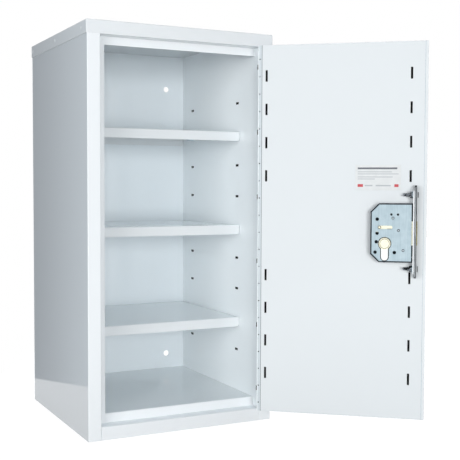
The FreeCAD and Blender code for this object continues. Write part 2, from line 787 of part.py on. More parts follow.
def forend_fasteners():
    """Two screws through the forend and bracket, each with a washer and a nut behind."""
    screws, washers, nuts = [], [], []
    for number, place in enumerate(screw_heights()):
        head = cross_rod(f"screw_head_{number}", "lock_t", place,
                         ("forend_face", "forend_face + screw_head"), "screw_head_radius")
        shank = cross_rod(f"screw_shank_{number}", "lock_t", place,
                          ("forend_face - forend_thick - screw_reach", "forend_face"), "screw_radius")
        drive = door_block(f"screw_drive_{number}",
                           ("forend_face + screw_head / 2", "forend_face + screw_head + overrun"),
                           ("lock_t - screw_head_radius", "lock_t + screw_head_radius"),
                           (f"{place} - screw_slot / 2", f"{place} + screw_slot / 2"))
        screws.append(pierced(f"screw_{number}", joined(f"screw_blank_{number}", [head, shank]), [drive]))
        bore = ("bracket_back - washer - nut - overrun", "bracket_back + overrun")
        ring = cross_rod(f"washer_disc_{number}", "lock_t", place,
                         ("bracket_back - washer", "bracket_back"), "washer_radius")
        washers.append(pierced(f"washer_{number}", ring, [
            cross_rod(f"washer_bore_{number}", "lock_t", place, bore, "screw_radius + pin_clearance")]))
        prism = doc.addObject("Part::Prism", f"nut_hex_{number}")
        prism.Polygon = 6
        bind(prism, "Circumradius", "nut_radius")
        bind(prism, "Height", "nut")
        prism.Placement = FreeCAD.Placement(FreeCAD.Vector(), FreeCAD.Rotation(FreeCAD.Vector(0, 1, 0), 90))
        bind(prism, "Placement.Base.x", "-(bracket_back - washer)")
        bind(prism, "Placement.Base.y", "lock_t")
        bind(prism, "Placement.Base.z", place)
        nuts.append(pierced(f"nut_{number}", prism, [
            cross_rod(f"nut_bore_{number}", "lock_t", place, bore, "screw_radius + pin_clearance")]))
    hang(grouped("forend_screw_set", screws), "forend_screws")
    hang(grouped("forend_washer_set", washers), "forend_washers")
    hang(grouped("forend_nut_set", nuts), "forend_nuts")


def case_corners(inset, far_u):
    """Case outline with its two far corners from the forend cut off, shrunk by inset."""
    near_u = f"(case_near + {inset})"
    low, high = f"(case_low + {inset})", f"(case_high - {inset})"
    cut = f"(case_chamfer - {inset} / 2)"
    return [(far_u, low), (f"{near_u} + {cut}", low), (near_u, f"{low} + {cut}"),
            (near_u, f"{high} - {cut}"), (f"{near_u} + {cut}", high), (far_u, high)]


def cover_point(shares):
    """Place on the cover from its shares of length and height."""
    along, up = shares
    return f"(case_near + {along} * (cover_far - case_near))", f"(case_low + {up} * (case_high - case_low))"


def lock_case():
    """Open tray that the bolt and the cylinder's cam work in."""
    blank = door_outline("case_blank", case_corners(0, "forend_back"), ("case_back", "case_front"))
    hollow = door_outline("case_hollow", case_corners("case_wall", "(forend_back - case_wall)"),
                          ("case_inner", "case_front + overrun"))
    wall = ("forend_back - case_wall - overrun", "forend_back + overrun")
    tools = [hollow, bolt_way("case_bolt_way", wall), fixing_way("case_fixing_way", wall)]
    floor = ("case_back - overrun", "case_inner + overrun")
    tools += profile_tools("case_cut", floor, "cylinder_clearance")
    tools += [door_rod(f"case_rivet_hole_{number}", *cover_point(shares), floor,
                       "case_rivet_radius + rivet_clearance")
              for number, shares in enumerate(CASE_RIVET_SHARES)]
    hang(pierced("case_tray", blank, tools), "lock_case")


def lock_cover():
    """Flat cover inside the tray's rim, with the guide slot and the makers' assembly holes."""
    gap = "(case_wall + case_clearance)"
    sheet_body = door_outline("cover_sheet", case_corners(gap, "cover_far"), ("cover_back", "case_front"))
    through = ("cover_back - overrun", "case_front + overrun")
    tools = profile_tools("cover_cut", through, "cover_gap")
    slack = "(guide_pin_radius + case_clearance)"
    ends = ("guide_u", "guide_u + bolt_throw + guide_slack")
    tools.append(door_block("guide_flat", ends, through, (f"guide_z - {slack}", f"guide_z + {slack}")))
    tools += [door_rod(f"guide_end_{number}", place, "guide_z", through, slack)
              for number, place in enumerate(ends)]
    sets = ((COVER_HOLE_SHARES, "cover_hole_radius"), (COVER_PIP_SHARES, "cover_pip_radius"),
            (CASE_RIVET_SHARES, "case_rivet_radius + rivet_clearance"))
    for group, (places, radius) in enumerate(sets):
        tools += [door_rod(f"cover_hole_{group}_{number}", *cover_point(shares), through, radius)
                  for number, shares in enumerate(places)]
    hang(pierced("cover_holed", sheet_body, tools), "lock_cover")


def case_rivets():
    """Rivets that tie the cover to the tray; the middle one also guides the bolt."""
    rivets = [door_rod(f"case_rivet_{number}", *cover_point(shares),
                       ("case_back", "case_front + guide_proud"), "case_rivet_radius")
              for number, shares in enumerate(CASE_RIVET_SHARES)]
    hang(grouped("case_rivet_set", rivets), "case_rivets")


def deadbolt():
    """Bolt head with a thinner tail behind the cover; a notch in the head clears the guide rivet."""
    half = "bolt_thick / 2"
    head = door_block("bolt_head", ("bolt_near", "bolt_tip"), (f"lock_t - {half}", f"lock_t + {half}"),
                      ("bolt_low", "bolt_high"))
    tail = door_block("bolt_tail", ("tail_near", "bolt_near + bolt_notch"),
                      ("tail_front - tail_thick", "tail_front"), ("tail_low", "tail_high"))
    rivet_u, rivet_z = cover_point(CASE_RIVET_SHARES[1])
    slack = "(case_rivet_radius + case_clearance)"
    clear = ("lock_t - bolt_thick", "tail_front + overrun")
    notch = door_block("bolt_notch_cut", (f"{rivet_u} - bolt_throw - {slack}", rivet_u), clear,
                       (f"{rivet_z} - {slack}", f"{rivet_z} + {slack}"))
    end = door_rod("bolt_notch_end", rivet_u, rivet_z, clear, slack)
    pin_hole = door_rod("tail_hole", "guide_u", "guide_z",
                        ("tail_front - tail_thick - overrun", "tail_front + overrun"),
                        "guide_shank_radius + rivet_clearance")
    hang(pierced("bolt_notched", joined("bolt_blank", [head, tail]), [notch, end, pin_hole]), "deadbolt")


def bolt_guide_pin():
    """Shouldered pin riveted into the bolt's tail, which runs in the cover's slot."""
    head = door_rod("guide_head", "guide_u", "guide_z", ("tail_front", "case_front + guide_proud"),
                    "guide_pin_radius")
    shank = door_rod("guide_shank", "guide_u", "guide_z", ("tail_front - tail_thick", "tail_front"),
                     "guide_shank_radius")
    hang(joined("guide_pin", [head, shank]), "bolt_guide_pin")


def bolt_spring():
    """Bent strip from the case's top wall down to the bolt's tail, which holds the bolt where it is."""
    top = "(case_high - case_wall)"
    start = "(case_near + case_chamfer + spring_inset)"
    turn = f"({start} + spring_foot)"
    tip = f"({turn} - spring_sweep)"
    low = "(tail_high + case_clearance)"
    corners = [(start, top), (f"{turn} + spring_thick", top), (f"{tip} + spring_thick", low), (tip, low),
               (f"{turn} - spring_thick", f"{top} - spring_thick"), (start, f"{top} - spring_thick")]
    width = ("lock_t - spring_width / 2", "lock_t + spring_width / 2")
    hang(door_outline("spring_strip", corners, width), "bolt_spring")


def lock_cylinder():
    """Keyed cylinder through the door: body, turning plug, and the cam between the body's two parts."""
    length = ("cylinder_front", "cylinder_back")
    past = ("cylinder_front - overrun", "cylinder_back + overrun")
    profile = joined("cylinder_profile", profile_tools("cylinder", length, "0"))
    slot_tool = door_rod("cam_slot", "cylinder_u", "cylinder_z",
                         ("cam_low - cam_clearance", "cam_high + cam_clearance"),
                         "cam_radius + cam_clearance")
    bore = door_rod("plug_bore", "cylinder_u", "cylinder_z", past, "plug_radius + plug_clearance")
    screw_hole = cross_rod("cylinder_screw_hole", "lock_t", "cylinder_z - fixing_drop",
                           ("cylinder_u - web_width", "cylinder_u + web_width"),
                           "fixing_radius + pin_clearance")
    hang(pierced("cylinder_bored", profile, [slot_tool, bore, screw_hole]), "cylinder_body")

    plug = door_rod("plug_rod", "cylinder_u", "cylinder_z",
                    ("cylinder_front + plug_recess", "cylinder_back - plug_recess"), "plug_radius")
    keyway = door_block("keyway", ("cylinder_u - keyway_width / 2", "cylinder_u + keyway_width / 2"),
                        ("cylinder_front - overrun", "cylinder_front + keyway_depth"),
                        ("cylinder_z - keyway_height / 2", "cylinder_z + keyway_height / 2"))
    hang(pierced("plug_keyed", plug, [keyway]), "cylinder_plug")

    span = ("cam_low", "cam_high")
    hub = door_rod("cam_hub", "cylinder_u", "cylinder_z", span, "cam_hub_radius")
    nose = door_block("cam_nose_bar", ("cylinder_u - cam_nose / 2", "cylinder_u + cam_nose / 2"), span,
                      ("cylinder_z - cam_radius", "cylinder_z"))
    round_off = door_rod("cam_limit", "cylinder_u", "cylinder_z", span, "cam_radius")
    tip = doc.addObject("Part::Common", "cam_nose_round")
    tip.Base, tip.Tool = nose, round_off
    seat = door_rod("cam_bore", "cylinder_u", "cylinder_z", past, "plug_radius")
    hang(pierced("cam_bored", joined("cam_blank", [hub, tip]), [seat]), "cylinder_cam")


def cylinder_fixing_screw():
    """Long screw from the forend into the cylinder's web."""
    place = "cylinder_z - fixing_drop"
    head = cross_rod("fixing_screw_head", "lock_t", place, ("forend_face - fixing_head", "forend_face"),
                     "fixing_head_radius")
    shank = cross_rod("fixing_screw_shank", "lock_t", place,
                      ("cylinder_u + web_width / 2 - fixing_reach", "forend_face"), "fixing_radius")
    hang(joined("fixing_screw", [head, shank]), "cylinder_fixing_screw")


def escutcheon_rods(name, t, extra):
    """The two screw places of the escutcheon, above and below the cylinder."""
    middle = "(cylinder_z - profile_drop / 2 + head_radius / 2)"
    reach = "(escutcheon_height / 2 - escutcheon_margin)"
    return [door_rod(f"{name}_{tag}", "cylinder_u", f"{middle} {sign} {reach}", t,
                     f"escutcheon_screw_radius + {extra}")
            for tag, sign in (("low", "-"), ("high", "+"))]


def escutcheon():
    """Plate round the cylinder on the door's outer face, with its two screws."""
    middle = "(cylinder_z - profile_drop / 2 + head_radius / 2)"
    near_u, far_u = "cylinder_u - escutcheon_width / 2", "cylinder_u + escutcheon_width / 2"
    low, high = f"{middle} - escutcheon_height / 2", f"{middle} + escutcheon_height / 2"
    corners = [(near_u, low), (far_u, low), (far_u, high), (near_u, high)]
    plate = door_outline("escutcheon_plate", corners, ("cylinder_front", "skin_face"))
    rounded(plate, "escutcheon_corner",
            lambda start, end: abs(start.y - end.y) > amount("escutcheon_thick") / 2)
    past = ("cylinder_front - overrun", "skin_face + overrun")
    tools = profile_tools("escutcheon_cut", past, "cylinder_clearance")
    tools += escutcheon_rods("escutcheon_hole", past, "screw_clearance")
    hang(pierced("escutcheon_cut_plate", plate, tools), "escutcheon")

    shanks = escutcheon_rods("escutcheon_shank", ("cylinder_front", "skin_back + screw_head"), "0")
    screws = []
    for number, shank in enumerate(shanks):
        head = doc.addObject("Part::Cylinder", f"escutcheon_head_{number}")
        head.Placement = shank.Placement
        bind(head, "Radius", "escutcheon_head_radius")
        bind(head, "Height", "escutcheon_head")
        bind(head, "Placement.Base.x", "-cylinder_u")
        bind(head, "Placement.Base.y", "cylinder_front - escutcheon_head")
        sign = "-" if number == 0 else "+"
        bind(head, "Placement.Base.z", f"{middle} {sign} (escutcheon_height / 2 - escutcheon_margin)")
        screws.append(joined(f"escutcheon_screw_{number}", [head, shank]))
    hang(grouped("escutcheon_screw_set", screws), "escutcheon_screws")


side_panel("left", -1)
side_panel("right", 1)
liner("left", -1, "stop_back")
liner("right", 1, "stop_face")
back_panel()
top_lid()
lid_rivets()
top_stop_rail()
floor_pan()
base_panel()
for peg_row, shelf_name in enumerate(PEG_ROWS):
    if shelf_name:
        shelf(shelf_name, peg_row)
        shelf_pegs(shelf_name, peg_row)
hinge()
door_skin()
door_inner_panel()
door_stiffener()
door_label()
lock_bracket()
lock_forend()
forend_fasteners()
lock_case()
lock_cover()
case_rivets()
bolt_spring()
deadbolt()
bolt_guide_pin()
lock_cylinder()
cylinder_fixing_screw()
escutcheon()
doc.recompute()

for thing in doc.Objects:
    if "Invalid" in thing.State or "Error" in thing.State:
        raise RuntimeError(f"{thing.Label}: {thing.State}")
for piece in finished:
    if piece.Shape.isNull() or not piece.Shape.isValid():
        raise RuntimeError(f"{piece.Label}: its shape is not sound")

os.makedirs("parts", exist_ok=True)
for piece in finished:
    piece.Shape.exportStep(f"parts/{piece.Label}.step")
    print(f"{piece.Label}: {len(piece.Shape.Solids)} solids, {piece.Shape.Volume:.1f} mm3")
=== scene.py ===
# %% [markdown]
# # A white steel medicine cabinet
# The cabinet is a box of folded sheet steel with a double-skinned door, three lift-out shelves and a
# lock on the door's inner face. Its solids come in already placed and jointed. This lesson gives them
# their finishes, makes the small fastenings again in finer form, and sets up light and camera.
# Lengths are metres, X runs to the right, the front is at low Y and Z is up.

# %% Load the solids
import json
import math
import bpy
from mathutils import Matrix, Vector


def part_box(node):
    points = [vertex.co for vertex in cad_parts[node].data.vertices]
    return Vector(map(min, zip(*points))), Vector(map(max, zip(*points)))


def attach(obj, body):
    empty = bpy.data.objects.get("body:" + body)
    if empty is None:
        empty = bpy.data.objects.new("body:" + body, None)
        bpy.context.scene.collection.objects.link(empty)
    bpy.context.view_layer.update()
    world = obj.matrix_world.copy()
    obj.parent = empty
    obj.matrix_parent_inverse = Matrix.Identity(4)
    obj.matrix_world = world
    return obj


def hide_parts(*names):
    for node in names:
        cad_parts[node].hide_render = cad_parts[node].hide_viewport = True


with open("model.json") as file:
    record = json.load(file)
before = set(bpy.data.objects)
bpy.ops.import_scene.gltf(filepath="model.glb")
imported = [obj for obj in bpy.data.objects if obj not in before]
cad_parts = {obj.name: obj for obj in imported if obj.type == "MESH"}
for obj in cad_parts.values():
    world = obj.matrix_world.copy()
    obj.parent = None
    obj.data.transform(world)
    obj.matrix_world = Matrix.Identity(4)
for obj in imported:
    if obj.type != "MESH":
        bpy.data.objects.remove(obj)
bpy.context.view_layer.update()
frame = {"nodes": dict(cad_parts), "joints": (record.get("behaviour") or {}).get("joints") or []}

nodes = frame["nodes"]

# %% [markdown]
# The door stands open, so what sits on it does not lie along X and Y. Three directions help: along
# the leaf away from the hinge, out of its inner face, and up. The bolt slides along the first and the
# key turns about the second, so the joints already hold both.

# %% Directions on the open door
joints = {joint["name"]: joint for joint in frame["joints"]}
HINGE = Vector(joints["door_hinge"]["pos_m"])
ALONG = Vector(joints["deadbolt_slide"]["axis"])
INWARD = Vector(joints["plug_turn"]["axis"])
UP = Vector((0, 0, 1))


def span(name, direction):
    """Least and greatest reach of a solid along a direction, from the hinge line."""
    reaches = [(vertex.co - HINGE).dot(direction) for vertex in nodes[name].data.vertices]
    return min(reaches), max(reaches)


print("door leaf, along and through:", span("door_skin", ALONG), span("door_skin", INWARD))

# %% [markdown]
# Every finish here is a small graph of shader nodes. One helper adds a node and fills its sockets,
# either with a plain value or with a link from another node. The rest of the graph then reads like
# ordinary function calls.

# %% Helpers for node graphs
def add(tree, kind, sockets=None, **settings):
    """Add a node with its settings, and fill sockets with values or links."""
    node = tree.nodes.new(kind)
    for name, value in settings.items():
        setattr(node, name, value)
    for name, value in (sockets or {}).items():
        if isinstance(value, bpy.types.NodeSocket):
            tree.links.new(value, node.inputs[name])
        else:
            node.inputs[name].default_value = value
    return node


def calc(tree, operation, *terms):
    """One step of arithmetic on numbers or sockets."""
    return add(tree, "ShaderNodeMath", dict(enumerate(terms)), operation=operation).outputs[0]


def axes_of(tree, point):
    """X, Y and Z of a point, as sockets."""
    return add(tree, "ShaderNodeSeparateXYZ", {0: point}).outputs


def tint(red, green, blue):
    """A screen colour from 0 to 255, by sRGB's power curve, as the linear colour that a shader uses."""
    return tuple(((value / 255 + 0.055) / 1.055) ** 2.4 for value in (red, green, blue))


# %% [markdown]
# Real finishes are never even, so each one starts from noise. The noise is read from the object's own
# coordinates, which stay with the piece when the door swings. Stretching it along one direction turns
# blotches into the fine lines of brushed or rolled metal. Most of the noise lies near its middle
# value, so colours and roughness change over that part only. A Mix node has sockets for numbers and
# for colours under the same names, so its colour sockets go by number.

# %% Noise patterns
MIDDLE, SPREAD = 0.5, 0.2
EVEN = (1, 1, 1)
FIRST_COLOUR, SECOND_COLOUR, MIXED_COLOUR = 6, 7, 2


def begin(name):
    """A new material with its graph, its shader and the piece's own coordinates."""
    material = bpy.data.materials.new(name)
    material.use_nodes = True
    tree = material.node_tree
    place = add(tree, "ShaderNodeTexCoord").outputs["Object"]
    return material, tree, tree.nodes["Principled BSDF"], place


def grain(tree, place, scale, stretch=EVEN, detail=2):
    """Noise with so many blotches to the metre, from 0 to 1."""
    stretched = add(tree, "ShaderNodeMapping", {"Vector": place, "Scale": stretch}).outputs[0]
    sockets = {"Vector": stretched, "Scale": scale, "Detail": detail}
    return add(tree, "ShaderNodeTexNoise", sockets).outputs[0]


def shades(tree, pattern, low, high, spread=SPREAD):
    """Colour that runs from low to high over the middle of a pattern."""
    ramp = add(tree, "ShaderNodeValToRGB", {0: pattern})
    limits = MIDDLE - spread, MIDDLE + spread
    for element, position, colour in zip(ramp.color_ramp.elements, limits, (low, high)):
        element.position = position
        element.color = (*colour, 1)
    return ramp.outputs[0]


def between(tree, pattern, low, high):
    """A number that runs from low to high over the middle of a pattern."""
    sockets = {
        "Value": pattern,
        "From Min": MIDDLE - SPREAD,
        "From Max": MIDDLE + SPREAD,
        "To Min": low,
        "To Max": high,
    }
    return add(tree, "ShaderNodeMapRange", sockets).outputs[0]


def mix(tree, amount, first, second):
    """Colour between two colours or sockets, by a pattern from 0 to 1."""
    ends = [end if isinstance(end, bpy.types.NodeSocket) else (*end, 1) for end in (first, second)]
    sockets = {0: amount, FIRST_COLOUR: ends[0], SECOND_COLOUR: ends[1]}
    return add(tree, "ShaderNodeMix", sockets, data_type="RGBA").outputs[MIXED_COLOUR]


# %% [markdown]
# Other patterns are measured, not random. A paint line, a seam or a worn end lies at a known distance
# from some edge, so it can be found by comparing a point's place with two limits. On the door the
# distances run from the hinge line in the three directions above.

# %% Measured patterns
def within(tree, amount, low, high):
    """1 where an amount lies between two limits, else 0."""
    above = calc(tree, "GREATER_THAN", amount, low)
    return calc(tree, "MULTIPLY", above, calc(tree, "LESS_THAN", amount, high))


def reach(tree, place, direction):
    """How far a point lies from the hinge line along a direction, as a socket."""
    offset = add(tree, "ShaderNodeVectorMath", {0: place, 1: HINGE}, operation="SUBTRACT").outputs[0]
    sockets = {0: offset, 1: direction}
    return add(tree, "ShaderNodeVectorMath", sockets, operation="DOT_PRODUCT").outputs["Value"]


# %% [markdown]
# Sheet steel is bent in a press, so its corners are never knife sharp. The solids have some of those
# bends, and a shading bevel rounds the cut edges by a fraction of a millimetre. Relief is laid on top
# of that, as a height in metres.

# %% Edges and relief
EDGE, EDGE_SAMPLES = 0.0005, 4


def relief(tree, height, depth):
    """Surface direction with softened edges and a pattern pressed into it."""
    soft = add(tree, "ShaderNodeBevel", {"Radius": EDGE}, samples=EDGE_SAMPLES).outputs[0]
    sockets = {"Height": height, "Distance": depth, "Strength": 1.0, "Normal": soft}
    return add(tree, "ShaderNodeBump", sockets).outputs[0]


def dress(tree, shader, colour, rough, normal):
    """Link a shader's colour, roughness and surface direction."""
    for name, socket in (("Base Color", colour), ("Roughness", rough), ("Normal", normal)):
        tree.links.new(socket, shader.inputs[name])


# %% [markdown]
# The sheet is powder coated: a charged white powder is sprayed on, then melted in an oven. It flows
# out into a glossy skin with the slight waviness of orange peel, for which two sizes of noise are
# added up. The coat comes in several whites, which are painted light and shade: a brighter white in
# the compartments stands in for the light that fills them, and duller whites go where the light falls
# differently. In the hollows behind the liners and inside the door the same finish turns to
# near-black painted shade, with a dull surface.

# %% White powder coat
# All these whites are painted light and shade, set by how the light falls on each surface.
INSIDE_LIT_WHITE = tint(246, 252, 255)
OUTSIDE_WHITE = tint(226, 230, 233)
SIDE_SHADE_WHITE = tint(214, 219, 223)
LID_WHITE = tint(218, 222, 225)
BACK_WHITE = tint(224, 232, 237)
DOOR_WHITE = tint(216, 221, 224)
# Painted shade on the hem beside the hinge.
HEM_SHADE_WHITE = tint(198, 206, 211)
# Near-black painted shade for hollows, slot walls and slot rims, with a dull roughness of its own.
PAINTED_SHADE, PAINTED_SHADE_ROUGH = tint(8, 8, 9), 0.7
COAT_IOR, COAT_ROUGH = 1.5, (0.065, 0.075)
CLOUD_DIP, CLOUD_SCALE, SMEAR_SCALE = 0.985, 2, 6
PEEL_SCALES, PEEL_DEPTH = (500, 180), 0.000006


def powder_coat(name, colour, *areas):
    """Glossy white coat; an area is a pattern and the colour that shows wherever it is 1."""
    material, tree, shader, place = begin(name)
    cloud = [value * CLOUD_DIP for value in colour]
    tone = shades(tree, grain(tree, place, CLOUD_SCALE), cloud, colour)
    rough = between(tree, grain(tree, place, SMEAR_SCALE), *COAT_ROUGH)
    for pattern, other in areas:
        amount = pattern(tree, place)
        tone = mix(tree, amount, tone, other)
        # Painted shade is made dull as well.
        if other is PAINTED_SHADE:
            rough = calc(tree, "MAXIMUM", rough, calc(tree, "MULTIPLY", amount, PAINTED_SHADE_ROUGH))
    peel = calc(tree, "ADD", *[grain(tree, place, scale) for scale in PEEL_SCALES])
    dress(tree, shader, tone, rough, relief(tree, peel, PEEL_DEPTH))
    shader.inputs["IOR"].default_value = COAT_IOR
    return material


# %% [markdown]
# Where an area lies is measured from the solids. The outer sides, the posts' fronts and the front
# edges of lid, shelves and floor take slightly different whites, as painted light and shade for how the
# light falls on each. All that lies deeper than the liners' faces is near-black painted shade, and so
# are the walls of the slots on the hinge side.

# %% Areas on the cabinet
SLIP = 0.0001
SHEET, THIN_SHEET = 0.0012, 0.001
FRONTWARD = -0.5
LINER_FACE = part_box("right_liner")[0].x
LEAF_FACE = LINER_FACE - THIN_SHEET
SIDE_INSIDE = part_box("right_side_panel")[1].x - SHEET
POST_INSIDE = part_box("right_side_panel")[0].y + SHEET


# The outer sides take a darker white, as painted shade.
def outer_sides(tree, place):
    """1 on the cabinet's outer sides."""
    across = calc(tree, "ABSOLUTE", axes_of(tree, place)["X"])
    return calc(tree, "GREATER_THAN", across, SIDE_INSIDE + SLIP)


def post_fronts(tree, place):
    """1 on the front of the posts."""
    return calc(tree, "LESS_THAN", axes_of(tree, place)["Y"], POST_INSIDE - SLIP)


# Faces turned to the front take a white of their own, as painted light and shade.
def front_faces(tree, place):
    """1 wherever the piece faces the front."""
    facing = add(tree, "ShaderNodeTexCoord").outputs["Normal"]
    return calc(tree, "LESS_THAN", axes_of(tree, facing)["Y"], FRONTWARD)


def behind(face):
    """Pattern of the space between a face on either side and the outer wall."""
    def pattern(tree, place):
        axes = axes_of(tree, place)
        across = calc(tree, "ABSOLUTE", axes["X"])
        hidden = within(tree, across, face + SLIP, SIDE_INSIDE + SLIP)
        back = calc(tree, "GREATER_THAN", axes["Y"], POST_INSIDE - SLIP)
        return calc(tree, "MULTIPLY", hidden, back)
    return pattern


print("liner face at", LINER_FACE, "and outer wall at", SIDE_INSIDE)

# %% [markdown]
# The door has two skins with a gap between them. The outer one is folded round into a narrow hem, and
# the inner panel lies on that. Where the panel ends, a fine dark line of painted shade runs up the hem,
# fainter on the free side, and the rest of the hem by the hinge takes a white of painted shade. The gap
# and the walls of the panel's slots are near-black painted shade. All of these are blocks or bands
# along the leaf, through it and up it.

# %% Areas on the door
# Painted shade: a fine dark line where the inner panel ends, fainter on the free side.
SEAM_SHADE, FAINT_SEAM_SHADE = tint(112, 120, 126), tint(196, 205, 212)
SEAM_WIDTH, DOOR_WALL = 0.0009, 0.0009
SKIN_INSIDE = span("door_skin", INWARD)[0] + THIN_SHEET
DOOR_ENDS, DOOR_RISE = span("door_skin", ALONG), span("door_skin", UP)
PANEL_ENDS, PANEL_RISE = span("door_inner_panel", ALONG), span("door_inner_panel", UP)
PANEL_BACK, PANEL_FACE = span("door_inner_panel", INWARD)


def door_block(tree, place, through, along, rise, margin):
    """1 in a block of the door, given by its limits, less a margin along and up the leaf."""
    inside = within(tree, reach(tree, place, INWARD), *through)
    for direction, (low, high) in ((ALONG, along), (UP, rise)):
        part = within(tree, reach(tree, place, direction), low + margin, high - margin)
        inside = calc(tree, "MULTIPLY", inside, part)
    return inside


def inside_door(tree, place):
    """1 in the space between the door's two skins."""
    through = SKIN_INSIDE - SLIP, PANEL_BACK - SLIP
    return door_block(tree, place, through, DOOR_ENDS, DOOR_RISE, DOOR_WALL)


def slot_walls(tree, place):
    """1 on the walls of the slots in the inner panel."""
    through = PANEL_BACK - SLIP, PANEL_FACE - SLIP
    return door_block(tree, place, through, PANEL_ENDS, PANEL_RISE, SLIP)


# The hem beside the hinge takes a white of painted shade.
def shaded_hinge_hem(tree, place):
    """1 on the narrow hem beside the hinge."""
    return calc(tree, "LESS_THAN", reach(tree, place, ALONG), PANEL_ENDS[0])


# Marks the line of painted shade at the panel's edge.
def panel_seam_shade(low, high):
    """Pattern of a fine upright line on a hem, between two distances from the hinge."""
    def pattern(tree, place):
        line = within(tree, reach(tree, place, ALONG), low, high)
        inner = calc(tree, "GREATER_THAN", reach(tree, place, INWARD), PANEL_BACK - SLIP)
        return calc(tree, "MULTIPLY", line, inner)
    return pattern


hinge_seam_shade = panel_seam_shade(PANEL_ENDS[0] - SEAM_WIDTH, PANEL_ENDS[0])
free_seam_shade = panel_seam_shade(PANEL_ENDS[1], PANEL_ENDS[1] + SEAM_WIDTH)
print("inner panel, along and up:", PANEL_ENDS, PANEL_RISE)

# %% [markdown]
# A thin rim of near-black painted shade round each punched slot makes it look larger and darker.
# Each liner has two columns of level slots for the shelf pegs. The door's inner panel has two columns
# of upright ones, in a lower and an upper group. Rows keep an even pitch, so one remainder of the
# height finds them all. The marks are half the width and height of a slot with its rim.

# %% Rims of the slots
PEG_LOW, PEG_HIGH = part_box("lower_shelf_pegs")
PEG_HALF = 0.0053
PEG_COLUMNS = PEG_LOW.y + PEG_HALF, PEG_HIGH.y - PEG_HALF
PEG_ROWS, PEG_PITCH = (0.1, 0.5), 0.05
PEG_MARK = 0.0047, 0.00185
VENT_NEAR, VENT_FAR = 0.0131, 0.0235
VENT_BELOW, VENT_ABOVE = 0.06, 0.0462
VENT_STEPS, GROUP_STEPS = 9, 3
VENT_COLUMNS = VENT_NEAR, DOOR_ENDS[1] - VENT_FAR
VENT_LOW, VENT_HIGH = DOOR_RISE[0] + VENT_BELOW, DOOR_RISE[1] - VENT_ABOVE
VENT_PITCH = (VENT_HIGH - VENT_LOW) / VENT_STEPS
GROUP = GROUP_STEPS * VENT_PITCH
VENT_ROWS = (VENT_LOW, VENT_LOW + GROUP), (VENT_HIGH - GROUP, VENT_HIGH)
VENT_MARK = 0.0016, 0.0086


# Marks where the rims of painted shade lie round the slots.
def slot_rim_shade(tree, across, rise, columns, rows, pitch, mark):
    """1 on and round the slots of some columns, from the lowest row to the highest."""
    wide, tall = mark
    strips = [within(tree, across, middle - wide, middle + wide) for middle in columns]
    bottom, top = rows[0] - pitch / 2, rows[1] + pitch / 2
    step = calc(tree, "MODULO", calc(tree, "SUBTRACT", rise, bottom), pitch)
    row = within(tree, step, pitch / 2 - tall, pitch / 2 + tall)
    rims = calc(tree, "MULTIPLY", row, calc(tree, "MAXIMUM", *strips))
    return calc(tree, "MULTIPLY", rims, within(tree, rise, bottom, top))


def peg_rim_shade(tree, place):
    """1 on the liners round each peg slot."""
    axes = axes_of(tree, place)
    return slot_rim_shade(tree, axes["Y"], axes["Z"], PEG_COLUMNS, PEG_ROWS, PEG_PITCH, PEG_MARK)


def vent_rim_shade(tree, place):
    """1 on the door's inner panel round each slot of both groups."""
    along, rise = reach(tree, place, ALONG), reach(tree, place, UP)
    return calc(tree, "MAXIMUM", *[
        slot_rim_shade(tree, along, rise, VENT_COLUMNS, rows, VENT_PITCH, VENT_MARK) for rows in VENT_ROWS
    ])


print("door slots: pitch", VENT_PITCH, "and groups", VENT_ROWS)

# %% [markdown]
# A coat is now a base colour and some areas, each laid over the ones before it. The order matters, so
# the near-black painted shade comes after the whites that it has to cover.

# %% The coats
# Every white below is painted light or shade, and every near-black area is painted shade.
sides, posts = (outer_sides, SIDE_SHADE_WHITE), (post_fronts, OUTSIDE_WHITE)
hollow, gap = (behind(LINER_FACE), PAINTED_SHADE), (inside_door, PAINTED_SHADE)
white_plain = powder_coat("white_plain", OUTSIDE_WHITE)
white_shelf = powder_coat("white_shelf", INSIDE_LIT_WHITE, (front_faces, DOOR_WHITE))
white_back = powder_coat("white_back", BACK_WHITE)
white_floor = powder_coat("white_floor", INSIDE_LIT_WHITE, (front_faces, OUTSIDE_WHITE))
white_lid = powder_coat("white_lid", OUTSIDE_WHITE, (front_faces, LID_WHITE))
white_post = powder_coat("white_post", OUTSIDE_WHITE, sides, posts, hollow)
white_sides = powder_coat("white_sides", INSIDE_LIT_WHITE, sides, posts, hollow)
white_liner = powder_coat("white_liner", INSIDE_LIT_WHITE, hollow, (peg_rim_shade, PAINTED_SHADE))
white_leaf = powder_coat("white_leaf", INSIDE_LIT_WHITE, (behind(LEAF_FACE), PAINTED_SHADE))
white_skin = powder_coat("white_skin", DOOR_WHITE, (shaded_hinge_hem, HEM_SHADE_WHITE), gap,
                         (hinge_seam_shade, SEAM_SHADE), (free_seam_shade, FAINT_SEAM_SHADE))
white_panel = powder_coat("white_panel", DOOR_WHITE, gap, (slot_walls, PAINTED_SHADE), (vent_rim_shade, PAINTED_SHADE))
print("last coat made:", white_panel.name)

# %% [markdown]
# The lock keeps its bare metals. A metal here is a bloom of blotches and a finer noise, half and half.
# Stretched along one of the door's directions, the finer noise becomes the lines that rolling or
# drawing leaves, and it also moves the roughness.

# %% Bare metal
BLOOM_DETAIL, MARK_DETAIL = 5, 3
MARK_SCALE, MARK_DEPTH = 900, 0.00001
ALONG_LINES, UPRIGHT_LINES = (0.03, 1, 1), (1, 1, 0.03)


